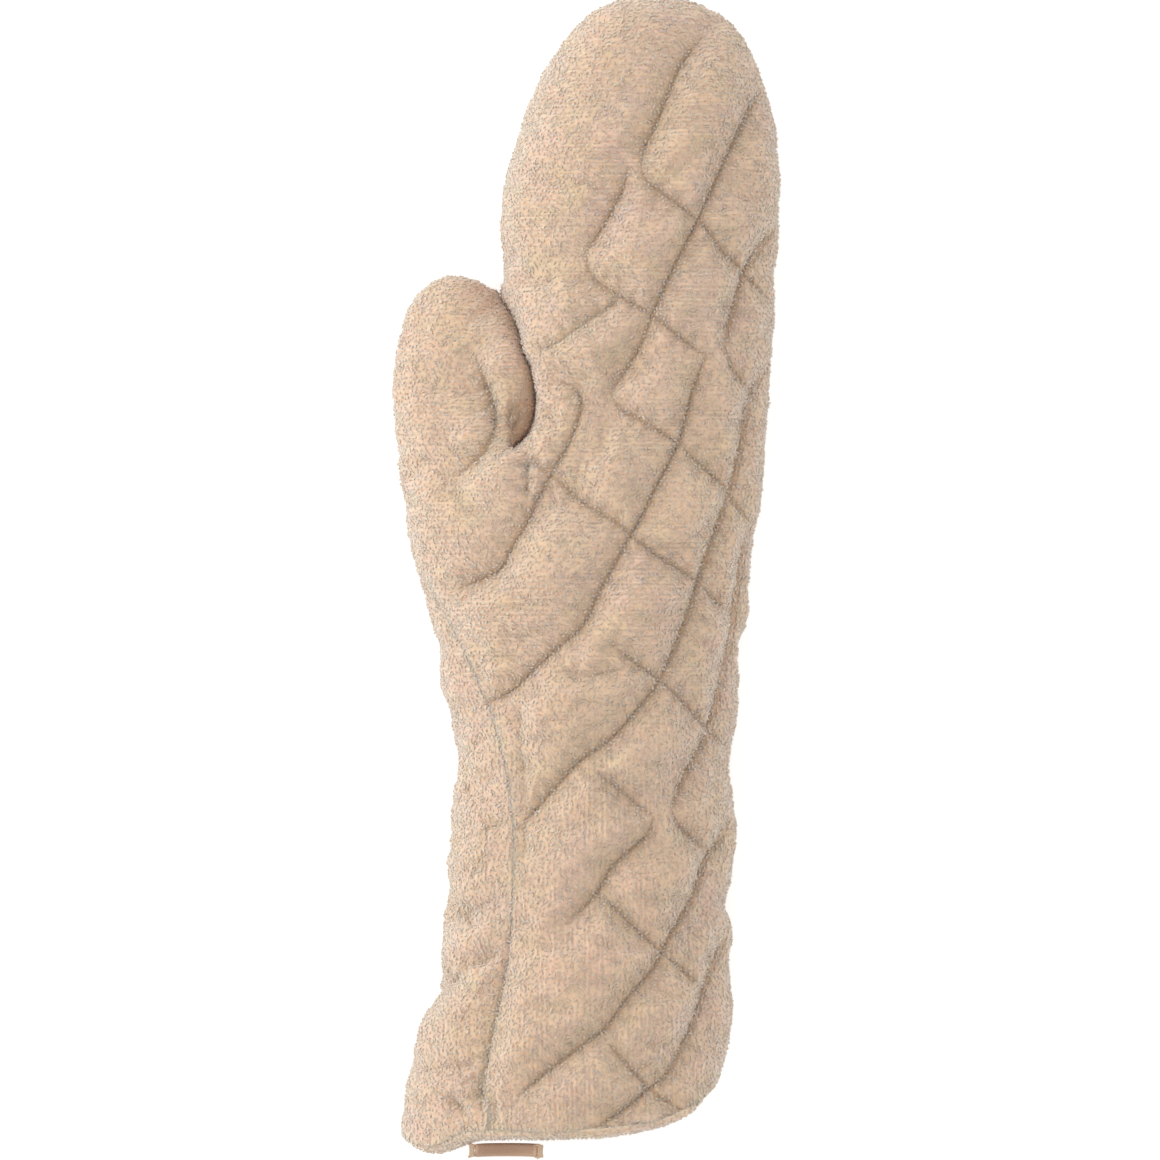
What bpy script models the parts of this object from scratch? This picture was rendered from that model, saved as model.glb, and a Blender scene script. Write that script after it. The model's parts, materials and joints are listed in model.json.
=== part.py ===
"""A long-cuffed terry oven mitt, lying on a table with the photographed side up.

Six plies make the bag: a terry panel, a batting and a lining at the front, and the same three at the rear.
Zigzag threads quilt them together, a thread closes the side seam, a terry hem caps the open end of the cuff,
and a loop of tape swings from the hem between two bartacks. Metres, +Z up, +Y towards the fingertips. The
origin is on the table, below the middle of the mitt.
"""

import itertools
import math

import bmesh
import bpy
import numpy as np
from mathutils import Vector
from mathutils.geometry import delaunay_2d_cdt

# Driving sizes of the whole mitt
MITT_LENGTH = 0.432
MITT_WIDTH = 0.145
SEAM_HEIGHT = 0.028
FRONT_SWELL_SHARE = 0.80
REAR_REACH_SHARE = 0.317

# Plies, from the outside in
TERRY = 0.0026
BATTING = 0.0042
LINING = 0.0008
PLY_GAP = 0.0003

# Quilting: how many rows, each half a diamond high, go into the mitt's length, and columns into its width,
# the lean of a row from one column to the next, and how far apart the two zigzags stay that turn back at
# one crossing
ROWS_ALONG = 16.875
COLUMNS_ACROSS = 5.6640625
LEAN_SHARE = 0.26171875
TURN_GAP = 0.0044
PRESS_SHARE = 0.70
CHANNEL_REACH = 0.0070
QUILT_MARGIN = 0.0048
SHORTEST_RUN = 0.045
THREAD_RADIUS = 0.0004
THREAD_GAP = 0.0005

# Side seam, and the slit between thumb and hand
SEAM_DRAW = 0.0015
SLIT_WIDTH = 0.0012

# Cuff hem: a cap over the plies' ends and a leg inside the cuff
HEM_CAP = 0.0030
HEM_DEPTH = 0.014
HEM_ROUND = 0.0010
HEM_GAP = 0.0005
HEM_STITCH_INSET = 0.0030
HEM_TURN = 0.035
HEM_RIMS = (0.0013, 0.0038, 0.0075)

# Hanging loop of tape and its bartacks
LOOP_TAPE_WIDTH = 0.0050
LOOP_TAPE = 0.0014
LOOP_SAG = 0.0130
LOOP_CLEARANCE = 0.0004
LOOP_STEPS = 14
BARTACK_LENGTH = 0.0018
BARTACK_HEIGHT = 0.0026

# Spacings of the meshes' points
OUTLINE_STEP = 0.0115
FILL_STEP = 0.0140
FINE_FILL_STEP = 0.0100
BESIDE_CHANNEL = 0.0036
RIM_INSETS = (0.0013, 0.0055)
MEMBRANE_STEP = 0.0065
CURVE_STEPS = 12
CREASE_ANGLE = math.radians(50)

# The photograph's pixels that bound the mitt; the tables of pixels below were read off it by eye
PHOTO_MIDDLE_PX = 585.5
PHOTO_WIDTH_PX = 388
PHOTO_LOW_PX = 1155.6
PHOTO_LENGTH_PX = 1157

# The seam from the cuff's left end up to the slit, down the slit, and round the hand to the cuff's right end
LEFT_EDGE_PX = (
    (402, 1141), (403, 1105), (412, 1055), (424, 1022), (438, 990), (441, 930), (447, 870), (453, 800),
    (455, 745), (447, 700), (438, 660), (428, 615), (414, 565), (405, 515), (398, 465), (393, 415),
    (391, 385), (397, 335), (408, 303), (428, 281), (452, 273), (476, 278), (491, 288),
)
SLIT_PX = ((502, 300), (512, 314), (522, 339), (531, 367), (536, 392), (534, 416), (526, 436), (514, 446))
RIGHT_EDGE_PX = (
    (504, 275), (502, 250), (501, 225), (504, 190), (511, 160), (519, 130), (530, 100), (544, 70),
    (562, 43), (586, 18), (614, 2), (650, -4), (688, 0), (718, 12), (742, 36), (758, 66), (769, 98),
    (776, 128), (779, 160), (779, 210), (777, 260), (774, 310), (771, 360), (767, 415), (765, 465),
    (758, 515), (753, 560), (749, 605), (741, 650), (738, 700), (734, 750), (732, 785), (736, 825),
    (732, 880), (731, 930), (734, 965), (732, 1005), (729, 1040), (725, 1070), (716, 1103),
)
HEM_EDGE_PX = (
    (716, 1103), (700, 1115), (676, 1128), (648, 1135), (615, 1137), (580, 1138), (540, 1139), (500, 1139),
    (470, 1140), (452, 1145), (437, 1152), (420, 1152), (402, 1141),
)
# Where the left seam runs over the front of the cuff, which is turned a little
TURNED_SEAM_PX = (
    (414, 565), (430, 590), (450, 625), (470, 665), (487, 705), (501, 750), (510, 800), (513, 860),
    (511, 920), (506, 975), (499, 1035), (491, 1080),
)
LOOP_ENDS_PX = ((478, 1139), (545, 1139))

# The crossing of the first quilting row and the middle column, then each column's first row and its
# places across the mitt, one for every second row
FIRST_CROSSING_PX = (635, 172)
COLUMNS_PX = {
    -4: (-2, (470, 470, 470, 450, 425, 420, 425, 430, 430)),
    -3: (-3, (490, 500, 508, 505, 462, 490, 500, 515, 495, 480)),
    -2: (-4, (590, 560, 540, 537, 552, 585, 593, 602, 604, 600)),
    -1: (-3, (600, 575, 583, 597, 634, 661, 662, 662, 652, 640)),
    0: (-4, (600, 615, 635, 653, 681, 702, 716, 709, 704, 705)),
    1: (-3, (690, 672, 699, 715, 731, 745, 738, 733, 725, 715)),
    2: (-4, (690, 715, 742, 745, 752, 760, 755, 745, 740, 735)),
    3: (-3, (745, 770, 795, 785, 780, 775, 770, 765, 760, 755)),
}
# The rear panel's zigzag where it shows beside the turned seam, and the even lattice on its underside
TURNED_ZIGZAG_PX = ((478, 735), (463, 775), (487, 835), (464, 900), (487, 965), (458, 1030), (463, 1090))
REAR_COLUMNS = 3
REAR_ROWS = 9

TERRY_COLOUR = (0.62, 0.45, 0.30, 1.0)
BATTING_COLOUR = (0.80, 0.78, 0.74, 1.0)
LINING_COLOUR = (0.72, 0.62, 0.50, 1.0)
THREAD_COLOUR = (0.50, 0.37, 0.26, 1.0)
TAPE_COLOUR = (0.74, 0.55, 0.38, 1.0)
CLOTH_ROUGHNESS = 0.95
THREAD_ROUGHNESS = 0.70

PIXEL_ACROSS = MITT_WIDTH / PHOTO_WIDTH_PX
PIXEL_ALONG = MITT_LENGTH / PHOTO_LENGTH_PX
REAR_REACH = REAR_REACH_SHARE * MITT_WIDTH
QUILT_ROW = MITT_LENGTH / ROWS_ALONG
QUILT_COLUMN = MITT_WIDTH / COLUMNS_ACROSS
QUILT_LEAN = LEAN_SHARE * QUILT_ROW
CHANNEL_DEPTH = PRESS_SHARE * BATTING
BATTING_TOP = TERRY + PLY_GAP
BATTING_BED = BATTING_TOP + BATTING
LINING_TOP = BATTING_BED + PLY_GAP
LINING_BED = LINING_TOP + LINING
HEM_TOP = LINING_BED + HEM_GAP
HEM_BED = HEM_TOP + TERRY
PLY_INSET = HEM_CAP + HEM_GAP
THREAD_LIFT = THREAD_GAP + THREAD_RADIUS
LOOSE_SHARE = 1e-9


def from_photo(pixels):
    """Places seen from above, in the mitt's own frame, of points read off the photograph."""
    pixels = np.asarray(pixels, float).reshape(-1, 2)
    across = (pixels[:, 0] - PHOTO_MIDDLE_PX) * PIXEL_ACROSS
    along = (PHOTO_LOW_PX - pixels[:, 1]) * PIXEL_ALONG - MITT_LENGTH / 2
    return np.column_stack((across, along))


def travel(line):
    """The distance run along a polyline up to each of its points."""
    return np.concatenate(([0], np.cumsum(np.linalg.norm(np.diff(line, axis=0), axis=1))))


def at_travel(line, distances):
    """Points of a polyline at distances along it."""
    run = travel(line)
    return np.column_stack([np.interp(distances, run, line[:, k]) for k in range(line.shape[1])])


def spaced(line, step):
    """The same polyline with even points about one step apart."""
    length = travel(line)[-1]
    return at_travel(line, np.linspace(0, length, max(1, round(length / step)) + 1))


def curve(points):
    """A fine polyline on the Catmull-Rom curve through the given points."""
    points = np.asarray(points, float)
    padded = np.vstack((2 * points[0] - points[1], points, 2 * points[-1] - points[-2]))
    t = np.linspace(0, 1, CURVE_STEPS, endpoint=False)[:, None]
    fine = []
    for a, b, c, d in zip(padded, padded[1:], padded[2:], padded[3:]):
        bend = 2 * a - 5 * b + 4 * c - d
        twist = 3 * (b - c) + d - a
        fine.append(b + ((c - a) * t + bend * t**2 + twist * t**3) / 2)
    return np.vstack((*fine, points[-1:]))


def left_of(line):
    """Unit vectors that point to the left of a polyline, at its points."""
    way = np.gradient(line, axis=0)
    way /= np.linalg.norm(way, axis=1)[:, None]
    return np.column_stack((-way[:, 1], way[:, 0]))


def closed(polygon):
    """A polygon's points with the first one repeated at the end."""
    return np.vstack((polygon, polygon[:1]))


def inside(points, polygon):
    """Which points lie within a polygon, by counting the sides that a ray crosses."""
    x, y = points[:, 0, None], points[:, 1, None]
    ax, ay = polygon[:, 0], polygon[:, 1]
    bx, by = np.roll(ax, -1), np.roll(ay, -1)
    spans = (ay > y) != (by > y)
    rise = np.where(by == ay, 1, by - ay)
    return ((spans & (x < (bx - ax) * (y - ay) / rise + ax)).sum(axis=1) % 2).astype(bool)


def distance_to(points, lines):
    """Each point's distance to the nearest of several polylines."""
    starts = np.vstack([line[:-1] for line in lines])
    runs = np.vstack([np.diff(line, axis=0) for line in lines])
    share = ((points[:, None] - starts) * runs).sum(axis=2) / (runs**2).sum(axis=1)
    nearest = starts + np.clip(share, 0, 1)[:, :, None] * runs
    return np.linalg.norm(points[:, None] - nearest, axis=2).min(axis=1)


def spread(low, high, step):
    """A triangular grid of points over a rectangle."""
    rows = []
    for k, y in enumerate(np.arange(low[1], high[1], step * math.sqrt(3) / 2)):
        xs = np.arange(low[0] + (k % 2) * step / 2, high[0], step)
        rows.append(np.column_stack((xs, np.full(len(xs), y))))
    return np.vstack(rows)


def triangles(points, chains, polygon):
    """Delaunay triangles of the points within a polygon, that keep each chain of points as edges."""
    edges = [(int(a), int(b)) for chain in chains for a, b in zip(chain, chain[1:])]
    size = np.ptp(polygon, axis=0).max()
    made = delaunay_2d_cdt([Vector(p / size) for p in points], edges, [], 0, LOOSE_SHARE)
    assert len(made[0]) == len(points), "two of the lines or points of a panel meet"
    faces = np.array(made[2])
    corners = points[faces]
    along, aside = corners[:, 1] - corners[:, 0], corners[:, 2] - corners[:, 0]
    area = (along[:, 0] * aside[:, 1] - along[:, 1] * aside[:, 0]) / size**2
    return faces[inside(corners.mean(axis=1), polygon) & (area > LOOSE_SHARE)]


def lattice(column, row):
    """The crossing of a column and a row of the front's quilting."""
    first, across = COLUMNS_PX[column]
    place = from_photo((across[(row - first) // 2], FIRST_CROSSING_PX[1]))[0]
    return place + (0, column * QUILT_LEAN - row * QUILT_ROW)


def even_lattice(column, row):
    """The crossing of a column and a row of the underside's quilting."""
    return np.array((column * QUILT_COLUMN, -row * QUILT_ROW))


def zigzag(left, rows, place):
    """The corners of a zigzag between a column and the next one, drawn in at each turn."""
    corners = []
    for row in rows:
        at_left = (row - left) % 2 == 0
        draw = TURN_GAP / 2 if at_left else -TURN_GAP / 2
        corners.append(place(left if at_left else left + 1, row) + (draw, 0))
    return np.array(corners)


def front_zigzags():
    """Every zigzag of the front's quilting."""
    made = []
    for left in sorted(COLUMNS_PX)[:-1]:
        tables = COLUMNS_PX[left], COLUMNS_PX[left + 1]
        first = max(start for start, _ in tables)
        last = min(start + 2 * len(across) - 2 for start, across in tables)
        made.append(zigzag(left, range(first, last + 1), lattice))
    return made


def rear_zigzags():
    """Every zigzag of the underside's quilting."""
    return [
        zigzag(left, range(-REAR_ROWS, REAR_ROWS + 1), even_lattice)
        for left in range(-REAR_COLUMNS, REAR_COLUMNS)
    ]


class Membrane:
    """The bag blown up from its seam: a film under even pressure, held at the seam and free at the cuff.

    Its deflection p gives the swell sqrt(2 p), which is a half circle over a straight tube and closes round
    the fingertips, the thumb and the slit by itself.
    """

    def __init__(self, outline, hem_edge):
        polygon = np.vstack((outline, hem_edge[1:-1]))
        grid = spread(polygon.min(axis=0), polygon.max(axis=0), MEMBRANE_STEP)
        away = distance_to(grid, [closed(polygon)])
        grid = grid[inside(grid, polygon) & (away > MEMBRANE_STEP / 2)]
        self.points = np.vstack((polygon, grid))
        self.faces = triangles(self.points, [[*range(len(polygon)), 0]], polygon)
        self.solve(np.arange(len(self.points)) >= len(outline))

    def solve(self, free):
        """Linear finite elements: a stiffness of one under a pressure of one."""
        corners = self.points[self.faces]
        edges = np.roll(corners, -2, axis=1) - np.roll(corners, -1, axis=1)
        area = (edges[:, 0, 0] * edges[:, 1, 1] - edges[:, 0, 1] * edges[:, 1, 0]) / 2
        turned = np.stack((-edges[:, :, 1], edges[:, :, 0]), axis=2) / (2 * area)[:, None, None]
        local = np.einsum("fik,fjk->fij", turned, turned) * area[:, None, None]
        stiffness = np.zeros((len(self.points),) * 2)
        load = np.zeros(len(self.points))
        for i in range(3):
            np.add.at(load, self.faces[:, i], area / 3)
            for j in range(3):
                np.add.at(stiffness, (self.faces[:, i], self.faces[:, j]), local[:, i, j])
        self.deflection = np.zeros(len(self.points))
        self.deflection[free] = np.linalg.solve(stiffness[np.ix_(free, free)], load[free])
        slope = np.einsum("fik,fi->fk", turned, self.deflection[self.faces])
        weight = np.zeros(len(self.points))
        self.slope = np.zeros((len(self.points), 2))
        for i in range(3):
            np.add.at(self.slope, self.faces[:, i], slope * area[:, None])
            np.add.at(weight, self.faces[:, i], area)
        self.slope /= weight[:, None]

    def at(self, points):
        """The swell and the deflection's slope at points seen from above."""
        corners = self.points[self.faces]
        a, b, c = corners[:, 0], corners[:, 1] - corners[:, 0], corners[:, 2] - corners[:, 0]
        cross = b[:, 0] * c[:, 1] - b[:, 1] * c[:, 0]
        offset = points[:, None] - a
        u = (offset[:, :, 0] * c[:, 1] - offset[:, :, 1] * c[:, 0]) / cross
        v = (b[:, 0] * offset[:, :, 1] - b[:, 1] * offset[:, :, 0]) / cross
        shares = np.stack((1 - u - v, u, v), axis=2)
        best = shares.min(axis=2).argmax(axis=1)
        share = np.clip(shares[np.arange(len(points)), best], 0, 1)
        share /= share.sum(axis=1)[:, None]
        found = self.faces[best]
        deflection = (self.deflection[found] * share).sum(axis=1)
        return np.sqrt(2 * deflection), (self.slope[found] * share[:, :, None]).sum(axis=1)


class Mitt:
    """The mitt's seam, quilting and rounded surface, from which every piece takes its shape."""

    def __init__(self):
        left, right = self.seam_halves()
        self.hem = self.hem_edge()
        whole_outline = np.vstack((spaced(left, OUTLINE_STEP), self.slit, spaced(right, OUTLINE_STEP)))
        self.membrane = Membrane(whole_outline, self.hem)
        self.left, self.right = left, right
        insets = (PLY_INSET, HEM_DEPTH)
        start = at_travel(left, insets[:1])
        end = at_travel(right[::-1], insets[:1])
        body_left = spaced(self.beyond(left, HEM_DEPTH), OUTLINE_STEP)
        body_right = spaced(self.beyond(right[::-1], HEM_DEPTH)[::-1], OUTLINE_STEP)
        self.outline = np.vstack((start, body_left, self.slit, body_right, end))
        cut, row = (self.hem_row(inset) for inset in insets)
        turned = curve(from_photo(TURNED_SEAM_PX))
        self.leaves = int(np.linalg.norm(self.outline - turned[0], axis=1).argmin())
        self.lands = int(np.abs(row[:, 0] - turned[-1, 0]).argmin())
        turned[0], turned[-1] = self.outline[self.leaves], row[self.lands]
        self.turned = np.vstack((spaced(turned, OUTLINE_STEP), cut[self.lands]))
        self.whole = np.vstack((self.outline, cut[1:-1]))
        self.front = np.vstack((self.outline[self.leaves :], cut[1 : self.lands], self.turned[:0:-1]))
        self.strip = np.vstack((self.outline[: self.leaves], self.turned, cut[self.lands + 1 : -1]))
        self.rows = {"whole": row, "front": row[: self.lands + 1], "strip": row[self.lands :]}
        self.runs = {
            "front": self.clipped(front_zigzags(), self.front),
            "strip": self.clipped([from_photo(TURNED_ZIGZAG_PX)], self.strip),
            "whole": self.clipped(rear_zigzags(), self.whole),
        }
        self.stitches = self.stitch_lines()

    def seam_halves(self):
        """The seam's fine polylines left and right of the slit; the slit's own points are kept apart."""
        middle = spaced(curve(from_photo(SLIT_PX)), OUTLINE_STEP)
        aside = left_of(middle) * SLIT_WIDTH / 2
        tip = middle[-1:] + (middle[-1:] - middle[-2:-1]) * SLIT_WIDTH / 2 / OUTLINE_STEP
        thumb_side, hand_side = middle - aside, (middle + aside)[::-1]
        self.slit = np.vstack((thumb_side[1:], tip, hand_side[:-1]))
        left = curve(np.vstack((from_photo(LEFT_EDGE_PX), thumb_side[:1])))
        right = curve(np.vstack((hand_side[-1:], from_photo(RIGHT_EDGE_PX))))
        return left, right

    @staticmethod
    def beyond(line, distance):
        """The rest of a polyline past a distance along it."""
        return np.vstack((at_travel(line, [distance]), line[travel(line) > distance + OUTLINE_STEP / 10]))

    @staticmethod
    def hem_edge():
        """The cuff's open edge, from its right end to its left end, with more points where it turns over."""
        edge = curve(from_photo(HEM_EDGE_PX))
        length = travel(edge)[-1]
        steps = np.linspace(0, length, round(length / OUTLINE_STEP) + 1)
        near = np.array(HEM_RIMS)
        return at_travel(edge, np.sort(np.concatenate((steps, near, length - near))))

    def hem_row(self, inset):
        """The hem's edge moved into the cuff, square to the edge but along the seam at its two ends."""
        run = travel(self.hem)
        way = -left_of(self.hem)
        for line, away in ((self.right[::-1], run), (self.left, run[-1] - run)):
            share = np.maximum(1 - away / HEM_TURN, 0)[:, None]
            seam = (at_travel(line, [HEM_DEPTH])[0] - line[0]) / HEM_DEPTH
            way = way * (1 - share) + seam * share
        row = self.hem + way / np.linalg.norm(way, axis=1)[:, None] * inset
        row[0] = at_travel(self.right[::-1], [inset])[0]
        row[-1] = at_travel(self.left, [inset])[0]
        return row

    def clipped(self, zigzags, polygon):
        """The stretches of each zigzag that lie well within a polygon and above the hem, turns kept."""
        hem = self.hem_row(HEM_DEPTH)[::-1]
        kept = []
        for corners in zigzags:
            legs = [spaced(np.array(leg), QUILT_ROW / 2) for leg in zip(corners, corners[1:])]
            line = np.vstack([leg[:-1] for leg in legs] + [corners[-1:]])
            good = inside(line, polygon) & (distance_to(line, [closed(polygon)]) > QUILT_MARGIN)
            good &= line[:, 1] > np.interp(line[:, 0], hem[:, 0], hem[:, 1]) + QUILT_MARGIN / 2
            for piece in np.split(np.arange(len(line)), np.flatnonzero(np.diff(good)) + 1):
                if good[piece[0]] and travel(line[piece])[-1] > SHORTEST_RUN:
                    kept.append(line[piece])
        return kept

    def place(self, points, side, depth):
        """Points of a ply at a depth below the smooth outside, and the way out there.

        A side of 1 is over the seam, -1 is under it and 0 is on it.
        """
        swell, slope = self.membrane.at(points)
        slope[:, 1] *= np.minimum(distance_to(points, [self.hem]) / HEM_TURN, 1)
        swell = np.where(side == 0, 0, swell)
        quarter = math.pi / 2 * np.minimum(swell / REAR_REACH, 1)
        height = np.where(side > 0, FRONT_SWELL_SHARE * swell, -SEAM_HEIGHT * np.sin(quarter))
        rear_rate = SEAM_HEIGHT * math.pi / 2 / REAR_REACH * np.cos(quarter)
        rate = np.where(side > 0, FRONT_SWELL_SHARE, rear_rate)
        out = np.column_stack((-slope * rate[:, None], np.where(side > 0, 1, -1) * swell))
        out /= np.linalg.norm(out, axis=1)[:, None]
        base = np.column_stack((points, SEAM_HEIGHT + height))
        return base - out * np.broadcast_to(depth, len(points))[:, None], out

    def stitch_lines(self):
        """The lines on the smooth outside that each side's quilting and the seam follow."""
        over = [self.place(run, np.ones(len(run)), 0)[0] for run in self.runs["front"] + self.runs["strip"]]
        under = [self.place(run, -np.ones(len(run)), 0)[0] for run in self.runs["whole"]]
        return {1: over, -1: under, 0: [self.seam_line(0, 0)]}

    def pressed(self, points, side):
        """How far the stitching draws the outside in."""
        placed, _ = self.place(points, side, 0)
        depth = SEAM_DRAW * self.hollow(distance_to(placed, self.stitches[0]))
        for way in (-1, 1):
            chosen = side == way
            if chosen.any():
                drawn = CHANNEL_DEPTH * self.hollow(distance_to(placed[chosen], self.stitches[way]))
                depth[chosen] = np.maximum(depth[chosen], drawn)
        return depth

    @staticmethod
    def hollow(away):
        """A channel's depth share at a distance from its stitches."""
        return (1 - np.minimum(away / CHANNEL_REACH, 1) ** 2) ** 2

    def sheet(self, name, fine):
        """The points and upward triangles of one polygon of the mitt; the polygon's points come first."""
        polygon = getattr(self, name)
        row = self.rows[name]
        lines = [row, *self.runs[name]]
        groups, chains = [polygon], [[*range(len(polygon)), 0]]
        for line in lines:
            start = sum(len(group) for group in groups)
            if line is row:
                ends = [int(np.linalg.norm(polygon - end, axis=1).argmin()) for end in (row[0], row[-1])]
                line = row[1:-1]
                chains.append([ends[0], *range(start, start + len(line)), ends[1]])
            else:
                chains.append(range(start, start + len(line)))
            groups.append(line)
        extra = [spread(polygon.min(axis=0), polygon.max(axis=0), FINE_FILL_STEP if fine else FILL_STEP)]
        least = [OUTLINE_STEP / 2]
        if fine:
            beside = self.beside_runs(name)
            extra = [self.rim(inset) for inset in RIM_INSETS] + beside + extra
            least = [inset / 2 for inset in RIM_INSETS] + [BESIDE_CHANNEL / 2] * len(beside) + least
        for points, clear in zip(extra, least):
            good = inside(points, polygon) & (distance_to(points, [closed(polygon), *lines]) > clear)
            points = points[good]
            taken = np.vstack(groups)
            good = np.linalg.norm(points[:, None] - taken, axis=2).min(axis=1) > clear
            groups.append(points[good])
        points = np.vstack(groups)
        return points, triangles(points, chains, polygon)

    def beside_runs(self, name):
        """Points on both sides of each quilting line of a polygon, clear of the rim points at its border."""
        made = []
        for line in self.runs[name]:
            middle = (line[1:] + line[:-1]) / 2
            for aside in (-BESIDE_CHANNEL, BESIDE_CHANNEL):
                points = middle + left_of(middle) * aside
                away = distance_to(points, [closed(getattr(self, name))])
                made.append(points[away > RIM_INSETS[-1]])
        return made

    def rim(self, inset):
        """Points just within the seam outline, where the surface turns over."""
        return self.outline - left_of(self.outline) * inset

    def surface(self, panel, fine):
        """A panel's points seen from above, their sides, which lie on its seam, and its outward triangles.

        The points of its border come first, in the same order whether the panel is fine or not.
        """
        if panel == "front":
            points, faces = self.sheet("front", fine)
            on_outline = np.arange(len(points)) < len(self.outline) - self.leaves
            last = len(self.front)
            on_turned = (np.arange(len(points)) < last) & (np.arange(len(points)) > last - len(self.turned))
            return points, np.where(on_outline, 0, 1), on_outline | on_turned, faces
        under, under_faces = self.sheet("whole", fine)
        over, over_faces = self.sheet("strip", fine)
        shared = self.leaves + 1
        border, added = len(self.whole), len(self.strip) - shared
        to_under = np.arange(len(under)) + np.where(np.arange(len(under)) < border, 0, added)
        to_over = np.arange(len(over)) - shared + border
        to_over[:shared] = np.arange(shared)
        to_over[len(self.strip) :] += len(under) - border
        points = np.zeros((len(under) + len(over) - shared, 2))
        side = np.zeros(len(points))
        points[to_over], side[to_over] = over, 1
        points[to_under], side[to_under] = under, -1
        side[: len(self.outline)] = 0
        seam = np.zeros(len(points), bool)
        seam[self.leaves : len(self.outline)] = True
        seam[border : border + len(self.turned) - 1] = True
        return points, side, seam, np.vstack((to_under[under_faces[:, ::-1]], to_over[over_faces]))

    def seam_line(self, depth, inset):
        """Points along the seam at a depth below the outside, short of the hem by an inset."""
        points = np.vstack((self.turned[:0:-1], self.outline[self.leaves :]))
        side = np.zeros(len(points))
        side[: len(self.turned) - 1] = 1
        placed, _ = self.place(points, side, depth)
        return placed[(travel(points) >= inset) & (travel(points[::-1])[::-1] >= inset)]

    def hem_ring(self, depth, inset):
        """Points round the cuff at a depth and at an inset from its end, over the front and back below."""
        row = self.hem_row(inset)
        side = np.concatenate((np.ones(len(row)), -np.ones(len(row) - 2)))
        side[0] = side[len(row) - 1] = 0
        return self.place(np.vstack((row, row[-2:0:-1])), side, depth)[0]

    def hem_front(self, pixel):
        """A place on the front's hem edge, half-way through the hem's cap, straight below a pixel."""
        across = from_photo(pixel)[0, 0]
        row = self.hem[::-1]
        point = np.array([[across, np.interp(across, row[:, 0], row[:, 1])]])
        placed, _ = self.place(point, np.ones(1), HEM_BED / 2)
        return placed[0]


def finish(name, colour, roughness):
    """A plain finish of one colour."""
    material = bpy.data.materials.new(name)
    material.use_nodes = True
    shader = material.node_tree.nodes["Principled BSDF"]
    shader.inputs["Base Color"].default_value = colour
    shader.inputs["Roughness"].default_value = roughness
    shader.inputs["Metallic"].default_value = 0
    return material


def add_object(name, data, colour, roughness):
    """An object with a finish of its own, in the scene."""
    data.materials.append(finish(name, colour, roughness))
    item = bpy.data.objects.new(name, data)
    bpy.context.scene.collection.objects.link(item)
    return item


def add_solid(name, points, faces, colour, roughness=CLOTH_ROUGHNESS):
    """A closed solid of points and faces, smooth but for its sharp edges."""
    form = bmesh.new()
    corners = [form.verts.new(point) for point in points]
    for face in faces:
        form.faces.new([corners[k] for k in face])
    bmesh.ops.recalc_face_normals(form, faces=form.faces)
    mesh = bpy.data.meshes.new(name)
    form.to_mesh(mesh)
    form.free()
    mesh.shade_smooth()
    mesh.set_sharp_from_angle(angle=CREASE_ANGLE)
    return add_object(name, mesh, colour, roughness)


def add_thread(name, points, ring=False):
    """A thread along a polyline, with filled ends, or closed in a ring."""
    data = bpy.data.curves.new(name, "CURVE")
    data.dimensions = "3D"
    data.bevel_depth = THREAD_RADIUS
    data.bevel_resolution = 0
    data.use_fill_caps = not ring
    spline = data.splines.new("POLY")
    spline.points.add(len(points) - 1)
    for point, place in zip(spline.points, points):
        point.co = (*place, 1)
    spline.use_cyclic_u = ring
    return add_object(name, data, THREAD_COLOUR, THREAD_ROUGHNESS)


def border_edges(faces):
    """The directed edges that only one triangle has."""
    edges = {(int(a), int(b)) for face in faces for a, b in zip(face, np.roll(face, -1))}
    return sorted((a, b) for a, b in edges if (b, a) not in edges)


def back_from_seam(placed, out, seam, border):
    """The unit way from the seam into the panel, at the points on the seam."""
    back = np.zeros_like(placed)
    for a, b in border:
        if seam[a] and seam[b]:
            way = placed[b] - placed[a]
            for k in (a, b):
                back[k] += np.cross(out[k], way / np.linalg.norm(way))
    length = np.linalg.norm(back, axis=1)[:, None]
    return back / np.where(length > 0, length, 1)


def add_ply(mitt, name, panel, outer, inner, colour):
    """One ply of a panel, from an outer to an inner skin, each given as (depth, pressed, fine)."""
    skins, faces, count = [], [], 0
    for depth, pressed, fine in (outer, inner):
        points, side, seam, skin = mitt.surface(panel, fine)
        pull = mitt.pressed(points, side) if pressed else 0
        placed, out = mitt.place(points, side, depth + pull)
        border = border_edges(skin)
        skins.append(placed + back_from_seam(placed, out, seam, border) * PLY_GAP / 2)
        faces.extend((skin[:, ::-1] if count else skin) + count)
        count = len(points)
    offset = len(skins[0])
    faces.extend((b, a, a + offset, b + offset) for a, b in border)
    return add_solid(name, np.vstack(skins), faces, colour)


def add_plies(mitt):
    """The six plies: terry, batting and lining, at the front and at the rear."""
    for panel in ("front", "rear"):
        add_ply(mitt, f"{panel}_terry_panel", panel, (0, True, True), (TERRY, True, False), TERRY_COLOUR)
        top, bed = (BATTING_TOP, True, False), (BATTING_BED, False, False)
        add_ply(mitt, f"{panel}_batting", panel, top, bed, BATTING_COLOUR)
        top, bed = (LINING_TOP, False, False), (LINING_BED, False, False)
        add_ply(mitt, f"{panel}_lining", panel, top, bed, LINING_COLOUR)


def add_quilting(mitt):
    """The quilting threads, one for each unbroken zigzag, lying in their channels."""
    for name, side, label in (("front", 1, "front"), ("strip", 1, "cuff_side"), ("whole", -1, "rear")):
        for number, run in enumerate(mitt.runs[name], 1):
            sides = np.full(len(run), side)
            placed, _ = mitt.place(run, sides, mitt.pressed(run, sides) - THREAD_LIFT)
            add_thread(f"{label}_quilting_thread_{number:02d}", placed)


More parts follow.
